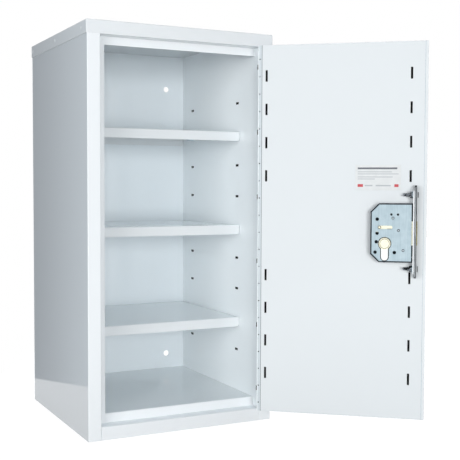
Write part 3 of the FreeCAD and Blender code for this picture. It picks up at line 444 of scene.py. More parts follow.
def metal(name, low, high, rough, blotch, lines=EVEN, areas=(), spread=SPREAD):
    """Metal with blotches, fine lines along one direction, and areas of another colour."""
    material, tree, shader, place = begin(name)
    bloom = grain(tree, place, blotch, detail=BLOOM_DETAIL)
    measures = [reach(tree, place, direction) for direction in (ALONG, INWARD, UP)]
    turned = add(tree, "ShaderNodeCombineXYZ", dict(enumerate(measures))).outputs[0]
    marks = grain(tree, turned, MARK_SCALE, lines, MARK_DETAIL)
    mixed = calc(tree, "MULTIPLY", calc(tree, "ADD", bloom, marks), 0.5)
    tone = shades(tree, mixed, low, high, spread)
    for pattern, dark, light in areas:
        tone = mix(tree, pattern(tree, place), tone, shades(tree, mixed, dark, light))
    dress(tree, shader, tone, between(tree, marks, *rough), relief(tree, marks, MARK_DEPTH))
    shader.inputs["Metallic"].default_value = 1.0
    return material


# %% [markdown]
# Some metal has areas of another colour, found like those of the coat. The forend's edges and ends
# take painted shade, and the bolt's tail behind the forend takes painted light, brighter than its head.
# The cover's two small holes get discs of painted shade, the rivets and the guide pin rings of painted
# shade, and the cylinder a cream disc and a brown ring. Their places are measured on the lock.

# %% Rims and rings on the lock
FOREND, FOREND_RISE = span("lock_forend", ALONG), span("lock_forend", UP)
FOREND_RIM, FOREND_TIP = 0.0009, 0.0022


# Painted shade along the forend's edges and at its ends.
def forend_edge_shade(tree, place):
    """1 along the edges of the forend and at its two ends."""
    along, rise = reach(tree, place, ALONG), reach(tree, place, UP)
    flat = within(tree, along, FOREND[0] + FOREND_RIM, FOREND[1] - FOREND_RIM)
    middle = within(tree, rise, FOREND_RISE[0] + FOREND_TIP, FOREND_RISE[1] - FOREND_TIP)
    return calc(tree, "SUBTRACT", 1.0, calc(tree, "MULTIPLY", flat, middle))


# Painted light: the tail behind the forend is brighter than the bolt's head.
def lit_bolt_tail(tree, place):
    """1 on the part of the bolt that stays behind the forend."""
    return calc(tree, "LESS_THAN", reach(tree, place, ALONG), FOREND[0])


def ring(centre, low, high):
    """Pattern of a ring on the lock, about a centre and between two radii."""
    def pattern(tree, place):
        along = calc(tree, "SUBTRACT", reach(tree, place, ALONG), (centre - HINGE).dot(ALONG))
        rise = calc(tree, "SUBTRACT", reach(tree, place, UP), (centre - HINGE).dot(UP))
        flat = add(tree, "ShaderNodeCombineXYZ", {0: along, 1: rise}).outputs[0]
        radius = add(tree, "ShaderNodeVectorMath", {0: flat}, operation="LENGTH").outputs["Value"]
        return within(tree, radius, low, high)
    return pattern


def on_cover(share_along, share_up):
    """Point on the lock cover, by its shares of the case's length and height."""
    near, far = span("lock_case", ALONG)[0], span("lock_cover", ALONG)[1]
    low, high = span("lock_case", UP)
    along, rise = near + share_along * (far - near), low + share_up * (high - low)
    return HINGE + ALONG * along + UP * rise


PIPS = on_cover(0.508, 0.812), on_cover(0.669, 0.812)
RIVETS = on_cover(0.549, 0.752), on_cover(0.685, 0.543), on_cover(0.803, 0.204)
PIN_AXIS = sum(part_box("bolt_guide_pin"), Vector()) / 2
PIN_RISE = span("bolt_guide_pin", UP)
PIN_RADIUS, PIN_RIM = (PIN_RISE[1] - PIN_RISE[0]) / 2, 0.0006
KEY_AXIS = Vector(joints["plug_turn"]["pos_m"])
PIP_RADIUS, HEAD_RADIUS = 0.0017, 0.0087
RIVET_RING, PLUG_RING = (0.0012, 0.003), (0.0066, 0.0072)

# Discs of painted shade at the cover's holes, and rings of painted shade round the rivets and the guide
# pin.
hole_shades = [ring(pip, 0.0, PIP_RADIUS) for pip in PIPS]
rivet_shade_rings = [ring(rivet, *RIVET_RING) for rivet in RIVETS]
pin_shade_ring = ring(PIN_AXIS, PIN_RADIUS - PIN_RIM, PIN_RADIUS + PIN_RIM)
key_head, plug_ring = ring(KEY_AXIS, 0.0, HEAD_RADIUS), ring(KEY_AXIS, *PLUG_RING)
print("guide pin radius:", PIN_RADIUS)

# %% [markdown]
# The lock's pressed cover is zinc plated, which leaves a blue-grey bloom with faint blotches. Its case
# is painted dark, as shade along its rim. The bolt is brass, drawn along its length, so the fine lines
# run that way. Screws and nuts are dark steel with painted glints and dark painted reflections: a
# narrow spread lets a small change of the noise run through the whole range of colour.

# %% Metals of the lock
CREAM = tint(246, 244, 218), tint(255, 254, 236)
BROWN = tint(112, 104, 76), tint(140, 132, 102)
# The dark brown, black and greys below are painted shade on the lock.
PIN_SHADE_BROWN = tint(46, 40, 28), tint(72, 64, 46)
HOLE_SHADE_BLACK = tint(8, 8, 9), tint(14, 14, 16)
FOREND_SHADE_GREY = tint(18, 20, 22), tint(44, 48, 52)
RIVET_SHADE_GREY = tint(46, 54, 62), tint(84, 92, 100)
GLINT_SPREAD = 0.06
# The cover takes discs of painted shade at its two small holes.
zinc = metal("zinc_plate", tint(168, 189, 199), tint(200, 217, 225), rough=(0.28, 0.42), blotch=90,
             lines=UPRIGHT_LINES, areas=[(pip, *HOLE_SHADE_BLACK) for pip in hole_shades])
# The case is painted dark, as shade along its rim.
shaded_case_zinc = metal("shaded_case_zinc", tint(36, 42, 48), tint(66, 74, 82), rough=(0.32, 0.46), blotch=120)
# The forend's edges and ends take painted shade.
forend_zinc = metal("forend_zinc", tint(150, 158, 162), tint(196, 202, 206), rough=(0.28, 0.42),
                    blotch=120, lines=UPRIGHT_LINES, areas=[(forend_edge_shade, *FOREND_SHADE_GREY)])
# A narrow spread paints bright glints and dark reflections on the steel.
steel = metal("dark_steel", tint(6, 8, 11), tint(168, 176, 184), rough=(0.14, 0.28), blotch=220,
              spread=GLINT_SPREAD)
# The rivet heads take rings of painted shade.
rivet_zinc = metal("rivet_zinc", tint(178, 192, 200), tint(208, 218, 224), rough=(0.24, 0.40),
                   blotch=300, areas=[(rim, *RIVET_SHADE_GREY) for rim in rivet_shade_rings])
spring_steel = metal("blued_spring", tint(58, 62, 70), tint(98, 104, 112), rough=(0.25, 0.40),
                     blotch=160)
# The bolt's tail behind the forend takes cream as painted light.
brass = metal("drawn_brass", tint(158, 152, 116), tint(196, 190, 152), rough=(0.24, 0.40), blotch=140,
              lines=ALONG_LINES, areas=[(lit_bolt_tail, *CREAM)])
# The guide pin takes a ring of painted shade.
pin_brass = metal("pin_brass", *CREAM, rough=(0.24, 0.40), blotch=140, areas=[(pin_shade_ring, *PIN_SHADE_BROWN)])
pale_brass = metal("plug_brass", *CREAM, rough=(0.20, 0.34), blotch=260)
nickel = metal("satin_nickel", tint(240, 243, 242), tint(253, 254, 253), rough=(0.22, 0.36), blotch=180,
               areas=[(key_head, *CREAM), (plug_ring, *BROWN)])
print("last metal made:", nickel.name)

# %% [markdown]
# The label on the door is a printed film. Its print is drawn as plain bars: a heading, some fine lines
# and a row of marks. Each bar is given by its shares of the film's height and width, and it shows
# wherever a point lies within both.

# %% Printed label
FILM_ENDS, FILM_RISE = span("door_label", ALONG), span("door_label", UP)
FILM_LOW, FILM_HIGH = tint(209, 212, 213), tint(215, 218, 219)
FILM_ROUGH, FILM_DEPTH = (0.35, 0.5), 0.00001
TONE_SCALE, SHEEN_SCALE, FIBRE_SCALE = 120, 400, 800
DARK_INK, GREY_INK, RED_INK = tint(100, 104, 110), tint(172, 177, 182), tint(186, 78, 84)
BARS = (
    (0.83, 0.90, 0.05, 0.92, DARK_INK),
    (0.71, 0.74, 0.05, 0.80, GREY_INK),
    (0.63, 0.66, 0.05, 0.95, GREY_INK),
    (0.51, 0.54, 0.05, 0.82, GREY_INK),
    (0.43, 0.46, 0.05, 0.43, GREY_INK),
    (0.13, 0.24, 0.05, 0.17, RED_INK),
    (0.16, 0.21, 0.21, 0.38, GREY_INK),
    (0.16, 0.21, 0.45, 0.78, GREY_INK),
    (0.13, 0.24, 0.86, 0.95, RED_INK),
)


def share(tree, amount, limits):
    """Where an amount lies between two limits, from 0 at the first to 1 at the second."""
    return calc(tree, "DIVIDE", calc(tree, "SUBTRACT", amount, limits[0]), limits[1] - limits[0])


def label_film():
    """White film with its printed bars."""
    material, tree, shader, place = begin("label_film")
    along = share(tree, reach(tree, place, ALONG), FILM_ENDS)
    rise = share(tree, reach(tree, place, UP), FILM_RISE)
    tone = shades(tree, grain(tree, place, TONE_SCALE), FILM_LOW, FILM_HIGH)
    for low, high, left, right, ink in BARS:
        bar = calc(tree, "MULTIPLY", within(tree, rise, low, high), within(tree, along, left, right))
        tone = mix(tree, bar, tone, ink)
    rough = between(tree, grain(tree, place, SHEEN_SCALE), *FILM_ROUGH)
    dress(tree, shader, tone, rough, relief(tree, grain(tree, place, FIBRE_SCALE), FILM_DEPTH))
    return material


film = label_film()
print("label bars:", len(BARS))

# %% [markdown]
# Each solid now takes its finish. Everything folded from sheet is white, the lock keeps its bare
# metals, and the pieces with a hollow behind them take the variant that knows about it.

# %% Put the finishes on
FINISHES = {
    white_plain: ("top_stop_rail", "base_panel", "lid_rivets", "lock_bracket"),
    white_lid: ("top_lid",),
    white_shelf: ("upper_shelf", "middle_shelf", "lower_shelf"),
    white_back: ("back_panel",),
    white_floor: ("floor_pan",),
    white_post: ("left_side_panel",),
    white_sides: ("right_side_panel",),
    white_liner: ("left_liner", "right_liner"),
    white_leaf: ("hinge_frame_leaf", "hinge_door_leaf"),
    white_skin: ("door_skin",),
    white_panel: ("door_inner_panel", "door_stiffener"),
    zinc: ("lock_cover", "forend_washers", "case_rivets", "upper_shelf_pegs", "middle_shelf_pegs",
           "lower_shelf_pegs"),
    shaded_case_zinc: ("lock_case",),
    forend_zinc: ("lock_forend",),
    steel: ("hinge_pin", "forend_screws", "forend_nuts", "cylinder_fixing_screw"),
    spring_steel: ("bolt_spring",),
    brass: ("deadbolt",),
    pin_brass: ("bolt_guide_pin",),
    pale_brass: ("cylinder_plug", "cylinder_cam"),
    nickel: ("cylinder_body", "escutcheon", "escutcheon_screws"),
    film: ("door_label",),
}
for material, names in FINISHES.items():
    for name in names:
        nodes[name].data.materials.clear()
        nodes[name].data.materials.append(material)
unfinished = set(nodes) - {name for names in FINISHES.values() for name in names}
print("solids without a finish:", sorted(unfinished))

# %% [markdown]
# Rivets, screws and nuts each repeat, so one of each is modelled and then set out on points. The
# points come from the solids: a node that holds several like pieces is split into its pieces, and each
# gives its axis line. Lengths along the axis count for little in that split, because a long thin piece
# has corners only at its ends.

# %% Find the repeated pieces
ACROSS = Vector((1, 0, 0))
SHORTENED, APART = 0.8, 0.008


def pieces_of(name, axis):
    """For each solid in a node: its middle, its reach along the axis, and its radius."""
    groups = []
    for key in {tuple(round(value, 5) for value in vertex.co) for vertex in nodes[name].data.vertices}:
        point = Vector(key)
        short = point - axis * point.dot(axis) * SHORTENED
        joined = [(point, short)]
        for group in [g for g in groups if any((short - other).length < APART for _, other in g)]:
            joined += group
            groups.remove(group)
        groups.append(joined)
    side = axis.cross(UP).normalized()
    found = []
    for group in groups:
        limits = []
        for direction in (axis, side, axis.cross(side)):
            reaches = [point.dot(direction) for point, _ in group]
            limits.append((direction, min(reaches), max(reaches)))
        middle = sum((direction * (low + high) / 2 for direction, low, high in limits), Vector())
        found.append((middle, limits[0][1:], (limits[1][2] - limits[1][1]) / 2))
    return sorted(found, key=lambda piece: tuple(round(value, 4) for value in piece[0]))


lid_rivets, case_rivets = pieces_of("lid_rivets", ACROSS), pieces_of("case_rivets", INWARD)
print("lid rivets:", len(lid_rivets), "case rivets:", len(case_rivets))

# %% [markdown]
# A geometry-node tree makes one fastening along its own Z axis, sets a copy on each point, turns it to
# the point's direction, and gives it a little spin of its own. Nobody stops two screws with their
# slots in line, so the spin comes from a random number with a fixed seed.

# %% Trees that set out fastenings
SPIN_SEED = 7


def start_tree(name, *sizes):
    """A geometry tree with named inputs for sizes, and its input sockets."""
    tree = bpy.data.node_groups.new(name, "GeometryNodeTree")
    tree.interface.new_socket("Geometry", in_out="INPUT", socket_type="NodeSocketGeometry")
    for size in sizes:
        tree.interface.new_socket(size, in_out="INPUT", socket_type="NodeSocketFloat")
    tree.interface.new_socket("Seed", in_out="INPUT", socket_type="NodeSocketInt")
    tree.interface.new_socket("Material", in_out="INPUT", socket_type="NodeSocketMaterial")
    tree.interface.new_socket("Geometry", in_out="OUTPUT", socket_type="NodeSocketGeometry")
    return tree, add(tree, "NodeGroupInput").outputs


def set_out(tree, given, shape):
    """Put the shape on every point, turned and spun, and end the tree."""
    turn = add(tree, "GeometryNodeInputNamedAttribute", {"Name": "turn"}, data_type="FLOAT_VECTOR")
    spin = add(tree, "FunctionNodeRandomValue", {"Seed": given["Seed"]}, data_type="FLOAT_VECTOR")
    spin.inputs[0].default_value = (0, 0, 0)
    spin.inputs[1].default_value = (0, 0, math.pi)
    facing = add(tree, "FunctionNodeRotateRotation", {0: turn.outputs[0], 1: spin.outputs[0]},
                 rotation_space="LOCAL").outputs[0]
    copies = add(tree, "GeometryNodeInstanceOnPoints",
                 {"Points": given["Geometry"], "Instance": shape, "Rotation": facing}).outputs[0]
    solid = add(tree, "GeometryNodeRealizeInstances", {0: copies}).outputs[0]
    coated = add(tree, "GeometryNodeSetMaterial",
                 {"Geometry": solid, "Material": given["Material"]}).outputs[0]
    add(tree, "NodeGroupOutput", {0: coated})


# %% [markdown]
# Once a tree has made its fastenings, the result is kept as a plain mesh and the tree comes off. The
# new piece rides on the body that the solid belongs to and stands in for it in the picture.

# %% Make a set of fastenings
def fasten(name, tree, spots, sizes, material, body, slot, *replaced):
    """Set fastenings on (point, direction) spots and let them stand for the solids."""
    mesh = bpy.data.meshes.new(name + "_points")
    mesh.from_pydata([tuple(point) for point, _ in spots], [], [])
    turns = mesh.attributes.new("turn", "FLOAT_VECTOR", "POINT")
    for item, (_, direction) in zip(turns.data, spots):
        item.vector = direction.to_track_quat("Z", "Y").to_euler()
    piece = bpy.data.objects.new(name, mesh)
    bpy.context.scene.collection.objects.link(piece)
    modifier = piece.modifiers.new("fastenings", "NODES")
    modifier.node_group = tree
    values = dict(sizes, Seed=SPIN_SEED, Material=material)
    for socket in tree.interface.items_tree:
        if socket.in_out == "INPUT" and socket.name in values:
            modifier[socket.identifier] = values[socket.name]
    ready = piece.evaluated_get(bpy.context.evaluated_depsgraph_get())
    made = bpy.data.meshes.new_from_object(ready)
    piece.modifiers.remove(modifier)
    piece.data = made
    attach(piece, body)
    if replaced:
        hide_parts(*replaced)
    print(name, "pieces:", len(spots), "faces:", len(made.polygons))


# %% [markdown]
# Most fastenings are round, so they begin as cylinders and balls. A barrel's rims are drawn in a
# little, because no real rim is sharp. A dome is a ball whose lower half is pressed flat. Shapes can
# then be moved, joined, or cut by one another.

# %% Shapes of fastenings
ROUND, RINGS = 32, 16
RIM_SHARE = 0.499


def shift(tree, shape, rise):
    """Move a shape along its Z axis."""
    offset = add(tree, "ShaderNodeCombineXYZ", {"Z": rise}).outputs[0]
    return add(tree, "GeometryNodeTransform", {"Geometry": shape, "Translation": offset}).outputs[0]


def reshape(tree, shape, x, y, z):
    """Move every corner of a shape to a new place, given by its three sockets."""
    moved = add(tree, "ShaderNodeCombineXYZ", {"X": x, "Y": y, "Z": z}).outputs[0]
    return add(tree, "GeometryNodeSetPosition", {"Geometry": shape, "Position": moved}).outputs[0]


def barrel(tree, radius, length, ease):
    """Cylinder about the origin with both rims eased by a share of its radius."""
    sockets = {"Vertices": ROUND, "Side Segments": RINGS, "Radius": radius, "Depth": length}
    solid = add(tree, "GeometryNodeMeshCylinder", sockets).outputs[0]
    axes = axes_of(tree, add(tree, "GeometryNodeInputPosition").outputs[0])
    height = calc(tree, "ABSOLUTE", axes["Z"])
    rim = calc(tree, "GREATER_THAN", height, calc(tree, "MULTIPLY", length, RIM_SHARE))
    pull = calc(tree, "SUBTRACT", 1.0, calc(tree, "MULTIPLY", rim, ease))
    return reshape(tree, solid, calc(tree, "MULTIPLY", axes["X"], pull),
                   calc(tree, "MULTIPLY", axes["Y"], pull), axes["Z"])


def shank_of(tree, radius, length, ease):
    """Barrel that reaches down from the origin plane."""
    return shift(tree, barrel(tree, radius, length, ease), calc(tree, "MULTIPLY", length, -0.5))


def dome(tree, radius, height):
    """Half ball on the origin plane, flattened to a height, with a flat underside."""
    ball = add(tree, "GeometryNodeMeshUVSphere",
               {"Segments": ROUND, "Rings": RINGS, "Radius": radius}).outputs[0]
    axes = axes_of(tree, add(tree, "GeometryNodeInputPosition").outputs[0])
    squeeze = calc(tree, "DIVIDE", height, radius)
    rise = calc(tree, "MULTIPLY", calc(tree, "MAXIMUM", axes["Z"], 0.0), squeeze)
    return reshape(tree, ball, axes["X"], axes["Y"], rise)


def join(tree, *shapes):
    """Several shapes as one."""
    joined = add(tree, "GeometryNodeJoinGeometry")
    for shape in shapes:
        tree.links.new(shape, joined.inputs[0])
    return joined.outputs[0]


def cut(tree, operation, shape, tool):
    """One shape cut by another, or what both share."""
    node = add(tree, "GeometryNodeMeshBoolean", operation=operation)
    tree.links.new(shape, node.inputs["Mesh 1" if operation == "DIFFERENCE" else "Mesh 2"])
    tree.links.new(tool, node.inputs["Mesh 2"])
    return node.outputs[0]


# %% [markdown]
# The lid's side skirts are held to the cabinet sides by rivets with low round heads. The lock's case
# is closed by three rivets of its own, whose heads show on the cover. Both are a shank and a dome, so
# one tree makes them in both sizes.

# %% Rivets
SHANK_SIZES = "Head Radius", "Head Height", "Shank Radius", "Shank Length"
RIVET_EASE, RIVET_RISE = 0.1, 0.0006
LID_SHANK, CASE_SHANK = (0.0016, 0.003), (0.0018, 0.0158)
rivet_tree, given = start_tree("rivet", *SHANK_SIZES)
shank = shank_of(rivet_tree, given["Shank Radius"], given["Shank Length"], RIVET_EASE)
head = dome(rivet_tree, given["Head Radius"], given["Head Height"])
set_out(rivet_tree, given, join(rivet_tree, shank, head))

lid_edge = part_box("top_lid")[1].x
lid_spots = []
for middle, _, radius in lid_rivets:
    out = ACROSS if middle.x > 0 else -ACROSS
    lid_spots.append((Vector((lid_edge * out.x, middle.y, middle.z)), out))
fasten("lid_rivet_set", rivet_tree, lid_spots,
       dict(zip(SHANK_SIZES, (radius, RIVET_RISE, *LID_SHANK))),
       white_plain, "cabinet", "white_enamel", "lid_rivets")

cover_face = HINGE.dot(INWARD) + span("lock_cover", INWARD)[1]
case_spots = []
for middle, _, radius in case_rivets:
    case_spots.append((middle + INWARD * (cover_face - middle.dot(INWARD)), INWARD))
fasten("case_rivet_set", rivet_tree, case_spots,
       dict(zip(SHANK_SIZES, (radius, RIVET_RISE, *CASE_SHANK))),
       rivet_zinc, "door", "zinc_plate", "case_rivets")

# %% [markdown]
# The hinge's leaf is tacked to the door along the folded hem, about every inch. Each tack leaves a low
# bead, so the rivet's form does for that too.

# %% Tack welds
TACK_PITCH, TACK_SET = 0.0262, 0.0012
TACK_SIZES = 0.001, 0.0003, 0.0005, 0.0005
door_low, door_high = [corner.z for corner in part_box("door_skin")]
hem = HINGE + ALONG * (DOOR_ENDS[0] + TACK_SET) + INWARD * PANEL_BACK
tack_count = int((door_high - door_low) / TACK_PITCH)
tack_spots = [(Vector((hem.x, hem.y, door_low + (number + 0.5) * TACK_PITCH)), INWARD)
              for number in range(tack_count)]
fasten("tack_weld_set", rivet_tree, tack_spots, dict(zip(SHANK_SIZES, TACK_SIZES)),
       steel, "door", "white_enamel")

# %% [markdown]
# Two machine screws hold the lock's forend to its bracket, and two small ones hold the escutcheon on
# the door's outer face. A thread is a ridge wound round the shank, so it is swept here along a spiral.
# The slot is cut across the low round head.

# %% Slotted screws
THREAD, THREADED, RIDGE_SIDES, TURN_STEPS = 0.00025, 0.9, 4, 24
SHANK_EASE, HEAD_EASE, SLOT_REACH = 0.15, 0.06, 3.0
screw_tree, given = start_tree("screw", *SHANK_SIZES, "Slot Width", "Thread Pitch")
length, rise = given["Shank Length"], given["Head Height"]
core = calc(screw_tree, "SUBTRACT", given["Shank Radius"], THREAD)
shank = shank_of(screw_tree, core, length, SHANK_EASE)
wound = calc(screw_tree, "MULTIPLY", length, THREADED)
spiral = add(screw_tree, "GeometryNodeCurveSpiral", {
    "Resolution": TURN_STEPS,
    "Rotations": calc(screw_tree, "DIVIDE", wound, given["Thread Pitch"]),
    "Start Radius": core,
    "End Radius": core,
    "Height": wound,
}).outputs[0]
ridge = add(screw_tree, "GeometryNodeCurvePrimitiveCircle",
            {"Resolution": RIDGE_SIDES, "Radius": THREAD}).outputs[0]
thread = add(screw_tree, "GeometryNodeCurveToMesh",
             {"Curve": spiral, "Profile Curve": ridge, "Fill Caps": True}).outputs[0]
thread = shift(screw_tree, thread, calc(screw_tree, "MULTIPLY", length, -(1 + THREADED) / 2))
slot_size = add(screw_tree, "ShaderNodeCombineXYZ", {
    "X": calc(screw_tree, "MULTIPLY", given["Head Radius"], SLOT_REACH),
    "Y": given["Slot Width"],
    "Z": rise,
}).outputs[0]
slot_tool = add(screw_tree, "GeometryNodeMeshCube", {"Size": slot_size}).outputs[0]
head = barrel(screw_tree, given["Head Radius"], rise, HEAD_EASE)
head = shift(screw_tree, head, calc(screw_tree, "MULTIPLY", rise, 0.5))
head = cut(screw_tree, "DIFFERENCE", head, shift(screw_tree, slot_tool, rise))
set_out(screw_tree, given, join(screw_tree, shank, thread, head))

# %% [markdown]
# Both pairs are set with their heads on a face: the forend's screws look out along the leaf, and the
# escutcheon's look out of the door. How far a solid reaches past that face gives the height of the
# head, and how far it reaches the other way gives the length of the shank. A cut is the width of the
# slot and the pitch of the thread.

# %% Set the screws
FOREND_SCREW, PLATE_SCREW = 0.0025, 0.0014
FOREND_CUT, PLATE_CUT = (0.0012, 0.0008), (0.0009, 0.0007)


def screw_set(name, solids, axis, face, side, shank, cut_sizes, material, slot):
    """Screws in place of a node's, with heads on a face, on the high (1) or low (-1) side of it."""
    screws = pieces_of(solids, axis)
    _, (low, high), radius = screws[0]
    rise, length = (high - face, face - low) if side > 0 else (face - low, high - face)
    sizes = dict(zip(SHANK_SIZES, (radius, rise, shank, length)))
    sizes["Slot Width"], sizes["Thread Pitch"] = cut_sizes
    spots = [(middle + axis * (face - middle.dot(axis)), axis * side) for middle, _, _ in screws]
    fasten(name, screw_tree, spots, sizes, material, "door", slot, solids)


forend_face = HINGE.dot(ALONG) + FOREND[1]
plate_face = HINGE.dot(INWARD) + span("escutcheon", INWARD)[0]
screw_set("forend_screw_set", "forend_screws", ALONG, forend_face, side=1, shank=FOREND_SCREW,
          cut_sizes=FOREND_CUT, material=steel, slot="steel")
screw_set("escutcheon_screw_set", "escutcheon_screws", INWARD, plate_face, side=-1, shank=PLATE_SCREW,
          cut_sizes=PLATE_CUT, material=nickel, slot="nickel")

# %% [markdown]
# A nut is a hexagon whose corners are turned off at both ends. The part that a hexagon and a slightly
# larger ball share has just that form. A bore for the screw is then cut through it.

# %% Hexagon nuts
NUT_SIDES, NUT_CORNER, NUT_BALL = 6, 0.0046, 1.06
BALL_SEGMENTS, BALL_RINGS, BORE_REACH = 48, 24, 2.0
nut_tree, given = start_tree("nut", "Corner Radius", "Thickness", "Bore Radius")
block = add(nut_tree, "GeometryNodeMeshCylinder", {
    "Vertices": NUT_SIDES,
    "Radius": given["Corner Radius"],
    "Depth": given["Thickness"],
}).outputs[0]
ball = add(nut_tree, "GeometryNodeMeshUVSphere", {
    "Segments": BALL_SEGMENTS,
    "Rings": BALL_RINGS,
    "Radius": calc(nut_tree, "MULTIPLY", given["Corner Radius"], NUT_BALL),
}).outputs[0]
bore = add(nut_tree, "GeometryNodeMeshCylinder", {
    "Vertices": ROUND,
    "Radius": given["Bore Radius"],
    "Depth": calc(nut_tree, "MULTIPLY", given["Thickness"], BORE_REACH),
}).outputs[0]
set_out(nut_tree, given, cut(nut_tree, "DIFFERENCE", cut(nut_tree, "INTERSECT", block, ball), bore))

nuts = pieces_of("forend_nuts", ALONG)
nut_low, nut_high = nuts[0][1]
fasten("forend_nut_set", nut_tree, [(middle, ALONG) for middle, _, _ in nuts],
       {"Corner Radius": NUT_CORNER, "Thickness": nut_high - nut_low, "Bore Radius": FOREND_SCREW},
       steel, "door", "steel", "forend_nuts")

# %% [markdown]
# The cabinet stands on white paper in a white room. The camera sees the surroundings as white, while
# the pieces are lit by a soft, slightly blue light that is strongest from above, behind and the right.
# Glossy coats also mirror the room, and this one has a dark doorway past the paper's left edge and a
# pale blue wall beside it, given here as colours round the compass.

# %% Surroundings
AMBIENT_LOW, AMBIENT_HIGH = (0.06, 0.08, 0.10), (0.90, 0.94, 0.98)
AMBIENT_FROM, AMBIENT_FULL = Vector((0.52, 0.68, 0.52)).normalized(), 0.6
WHITE, DOORWAY = (1, 1, 1), (0.10, 0.11, 0.13)
COMPASS = ((-180, WHITE), (-60, WHITE), (-30, (0.48, 0.57, 0.63)), (-18.3, (0.54, 0.63, 0.69)),
           (-15.2, DOORWAY), (-11, DOORWAY), (-8, WHITE), (180, WHITE))

scene = bpy.context.scene
scene.view_settings.view_transform = "Standard"
world = bpy.data.worlds.new("white_room")
scene.world = world
world.use_nodes = True
tree = world.node_tree
tree.nodes.clear()
toward = add(tree, "ShaderNodeTexCoord").outputs["Generated"]
facing = add(tree, "ShaderNodeVectorMath", {0: toward, 1: AMBIENT_FROM}, operation="DOT_PRODUCT")
strength = add(tree, "ShaderNodeMapRange", {
    "Value": facing.outputs["Value"],
    "From Min": 0.0,
    "From Max": AMBIENT_FULL,
}).outputs[0]
ambient = mix(tree, strength, AMBIENT_LOW, AMBIENT_HIGH)
axes = axes_of(tree, toward)
bearing = add(tree, "ShaderNodeMapRange", {
    "Value": calc(tree, "ARCTAN2", axes["X"], axes["Y"]),
    "From Min": -math.pi,
    "From Max": math.pi,
}).outputs[0]
ramp = add(tree, "ShaderNodeValToRGB", {0: bearing})
for degrees, _ in COMPASS[1:-1]:
    ramp.color_ramp.elements.new((degrees + 180) / 360)
for element, (_, colour) in zip(ramp.color_ramp.elements, COMPASS):
    element.color = (*colour, 1)
print("ambient light from", tuple(AMBIENT_FROM), "and compass of", len(COMPASS), "colours")

# %% [markdown]
# Which of these a ray meets depends on its kind. Light that a matt surface scatters comes from the
# ambient colour, mirror-like rays meet the compass, and the camera meets plain white, also through
# the holes in the back.

# %% What each ray meets
lit, mirrored, shown = [
    add(tree, "ShaderNodeBackground", {"Color": colour}).outputs[0]
    for colour in (ambient, ramp.outputs[0], (*WHITE, 1))
]
rays = add(tree, "ShaderNodeLightPath").outputs
hidden = add(tree, "ShaderNodeMixShader", {0: rays["Is Glossy Ray"], 1: lit, 2: mirrored}).outputs[0]
seen = calc(tree, "MAXIMUM", rays["Is Camera Ray"], rays["Is Transmission Ray"])
surface = add(tree, "ShaderNodeMixShader", {0: seen, 1: hidden, 2: shown}).outputs[0]
add(tree, "ShaderNodeOutputWorld", {"Surface": surface})
print("nodes in the surroundings:", len(tree.nodes))

# %% [markdown]
# The floor is a wide sheet of that paper, laid roughly along the camera's line of sight, a hair below
# the cabinet. Its left edge lies near the cabinet, and glossy steel mirrors it as a bright foot.

# %% Floor
PAPER_TURN, PAPER_LEFT, PAPER_FAR, FLOOR_DROP = math.radians(-30.4), -0.323, 5.0, 0.0002
near_side = [(PAPER_LEFT, -PAPER_FAR, -FLOOR_DROP), (PAPER_FAR, -PAPER_FAR, -FLOOR_DROP)]
far_side = [(PAPER_FAR, PAPER_FAR, -FLOOR_DROP), (PAPER_LEFT, PAPER_FAR, -FLOOR_DROP)]
mesh = bpy.data.meshes.new("floor")
mesh.from_pydata(near_side + far_side, [], [(0, 1, 2, 3)])
mesh.transform(Matrix.Rotation(PAPER_TURN, 4, "Z"))
floor = bpy.data.objects.new("floor", mesh)
scene.collection.objects.link(floor)
print("paper's left edge at", PAPER_LEFT, "before its turn")

# %% [markdown]
# Paper in full light is hard to tell from a white wall. To the camera, and to rays that a glossy piece
# mirrors, it glows almost white, a little less close to the cabinet, and adds a faint shading of its
# own, which is all that the shadow needs. For the light that it throws back at the cabinet it counts
# as a plain, duller sheet.

# %% Paper
PAPER_LOW, PAPER_HIGH, PAPER_SCALE = (0.40, 0.40, 0.40), (0.42, 0.42, 0.42), 2
PAPER_SHADE = (0.25, 0.25, 0.25, 1)
GLOW_NEAR, GLOW_FAR, GLOW_LOW, GLOW_FULL = 0.25, 1.0, 0.88, 1.0
paper = bpy.data.materials.new("floor_paper")
paper.use_nodes = True
tree = paper.node_tree
tree.nodes.clear()
place = add(tree, "ShaderNodeTexCoord").outputs["Object"]
grey = shades(tree, grain(tree, place, PAPER_SCALE), PAPER_LOW, PAPER_HIGH)
plain = add(tree, "ShaderNodeBsdfDiffuse", {"Color": grey}).outputs[0]
shaded = add(tree, "ShaderNodeBsdfDiffuse", {"Color": PAPER_SHADE}).outputs[0]
away = add(tree, "ShaderNodeVectorMath", {0: place}, operation="LENGTH").outputs["Value"]
level = add(tree, "ShaderNodeMapRange", {
    "Value": away,
    "From Min": GLOW_NEAR,
    "From Max": GLOW_FAR,
    "To Min": GLOW_LOW,
    "To Max": GLOW_FULL,
}).outputs[0]
glow = add(tree, "ShaderNodeEmission", {"Strength": level}).outputs[0]
glowing = add(tree, "ShaderNodeAddShader", {0: shaded, 1: glow}).outputs[0]
rays = add(tree, "ShaderNodeLightPath").outputs
mirrored = calc(tree, "MAXIMUM", rays["Is Glossy Ray"], rays["Is Transmission Ray"])
seen = calc(tree, "MAXIMUM", rays["Is Camera Ray"], mirrored)
surface = add(tree, "ShaderNodeMixShader", {0: seen, 1: plain, 2: glowing}).outputs[0]
add(tree, "ShaderNodeOutputMaterial", {"Surface": surface})
mesh.materials.append(paper)
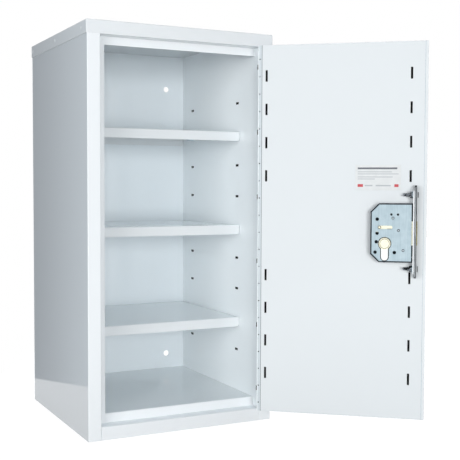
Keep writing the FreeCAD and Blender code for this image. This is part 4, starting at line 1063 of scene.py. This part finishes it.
print("paper glows from", GLOW_LOW, "to", GLOW_FULL)

# %% [markdown]
# Two large soft lamps work like windows. The one in front lights the fronts and reaches the back of
# the cabinet. The weaker one far to the left fills the compartments' right wall and the outer side.

# %% Lamps
LAMP_COLOUR = (1.0, 0.995, 0.985)
LAMP_TARGET = Vector((0, 0, 0.3))


def soft_lamp(name, place, size, power):
    """Square lamp at a place that shines at the cabinet; the coats do not mirror it."""
    lamp = bpy.data.lights.new(name, "AREA")
    lamp.shape = "SQUARE"
    lamp.size = size
    lamp.energy = power
    lamp.color = LAMP_COLOUR
    window = bpy.data.objects.new(name, lamp)
    scene.collection.objects.link(window)
    turn = (LAMP_TARGET - Vector(place)).to_track_quat("-Z", "Y")
    window.matrix_world = Matrix.LocRotScale(Vector(place), turn, None)
    window.visible_glossy = False
    print(name, "watts:", power)


soft_lamp("front_window", (-0.73, -2.93, 0.36), size=0.9, power=56)
soft_lamp("left_window", (-2.3, -1.9, 0.6), size=1.6, power=44)

# %% [markdown]
# The camera stands well back on the left, a little above the middle of the cabinet. Its place and
# direction were found by matching corners of the cabinet with their spots in the picture.

# %% Camera
CAMERA_PLACE = Vector((-0.5497, -1.3713, 0.3679))
YAW, PITCH, ROLL = 0.47268, -0.04963, 0.0037
FOCAL_MM, SENSOR_MM = 70.675, 36
ahead = Vector((math.sin(YAW) * math.cos(PITCH), math.cos(YAW) * math.cos(PITCH), math.sin(PITCH)))
right = Vector((math.cos(YAW), -math.sin(YAW), 0))
above = right.cross(ahead)
tilted = right * math.cos(ROLL) + above * math.sin(ROLL)
upward = above * math.cos(ROLL) - right * math.sin(ROLL)
lens = bpy.data.cameras.new("camera")
lens.lens = FOCAL_MM
lens.sensor_width = SENSOR_MM
camera = bpy.data.objects.new("camera", lens)
scene.collection.objects.link(camera)
turn = Matrix((tilted, upward, -ahead)).transposed().to_4x4()
camera.matrix_world = Matrix.Translation(CAMERA_PLACE) @ turn
scene.camera = camera
print("camera at", tuple(CAMERA_PLACE), "with a lens of", FOCAL_MM, "mm")
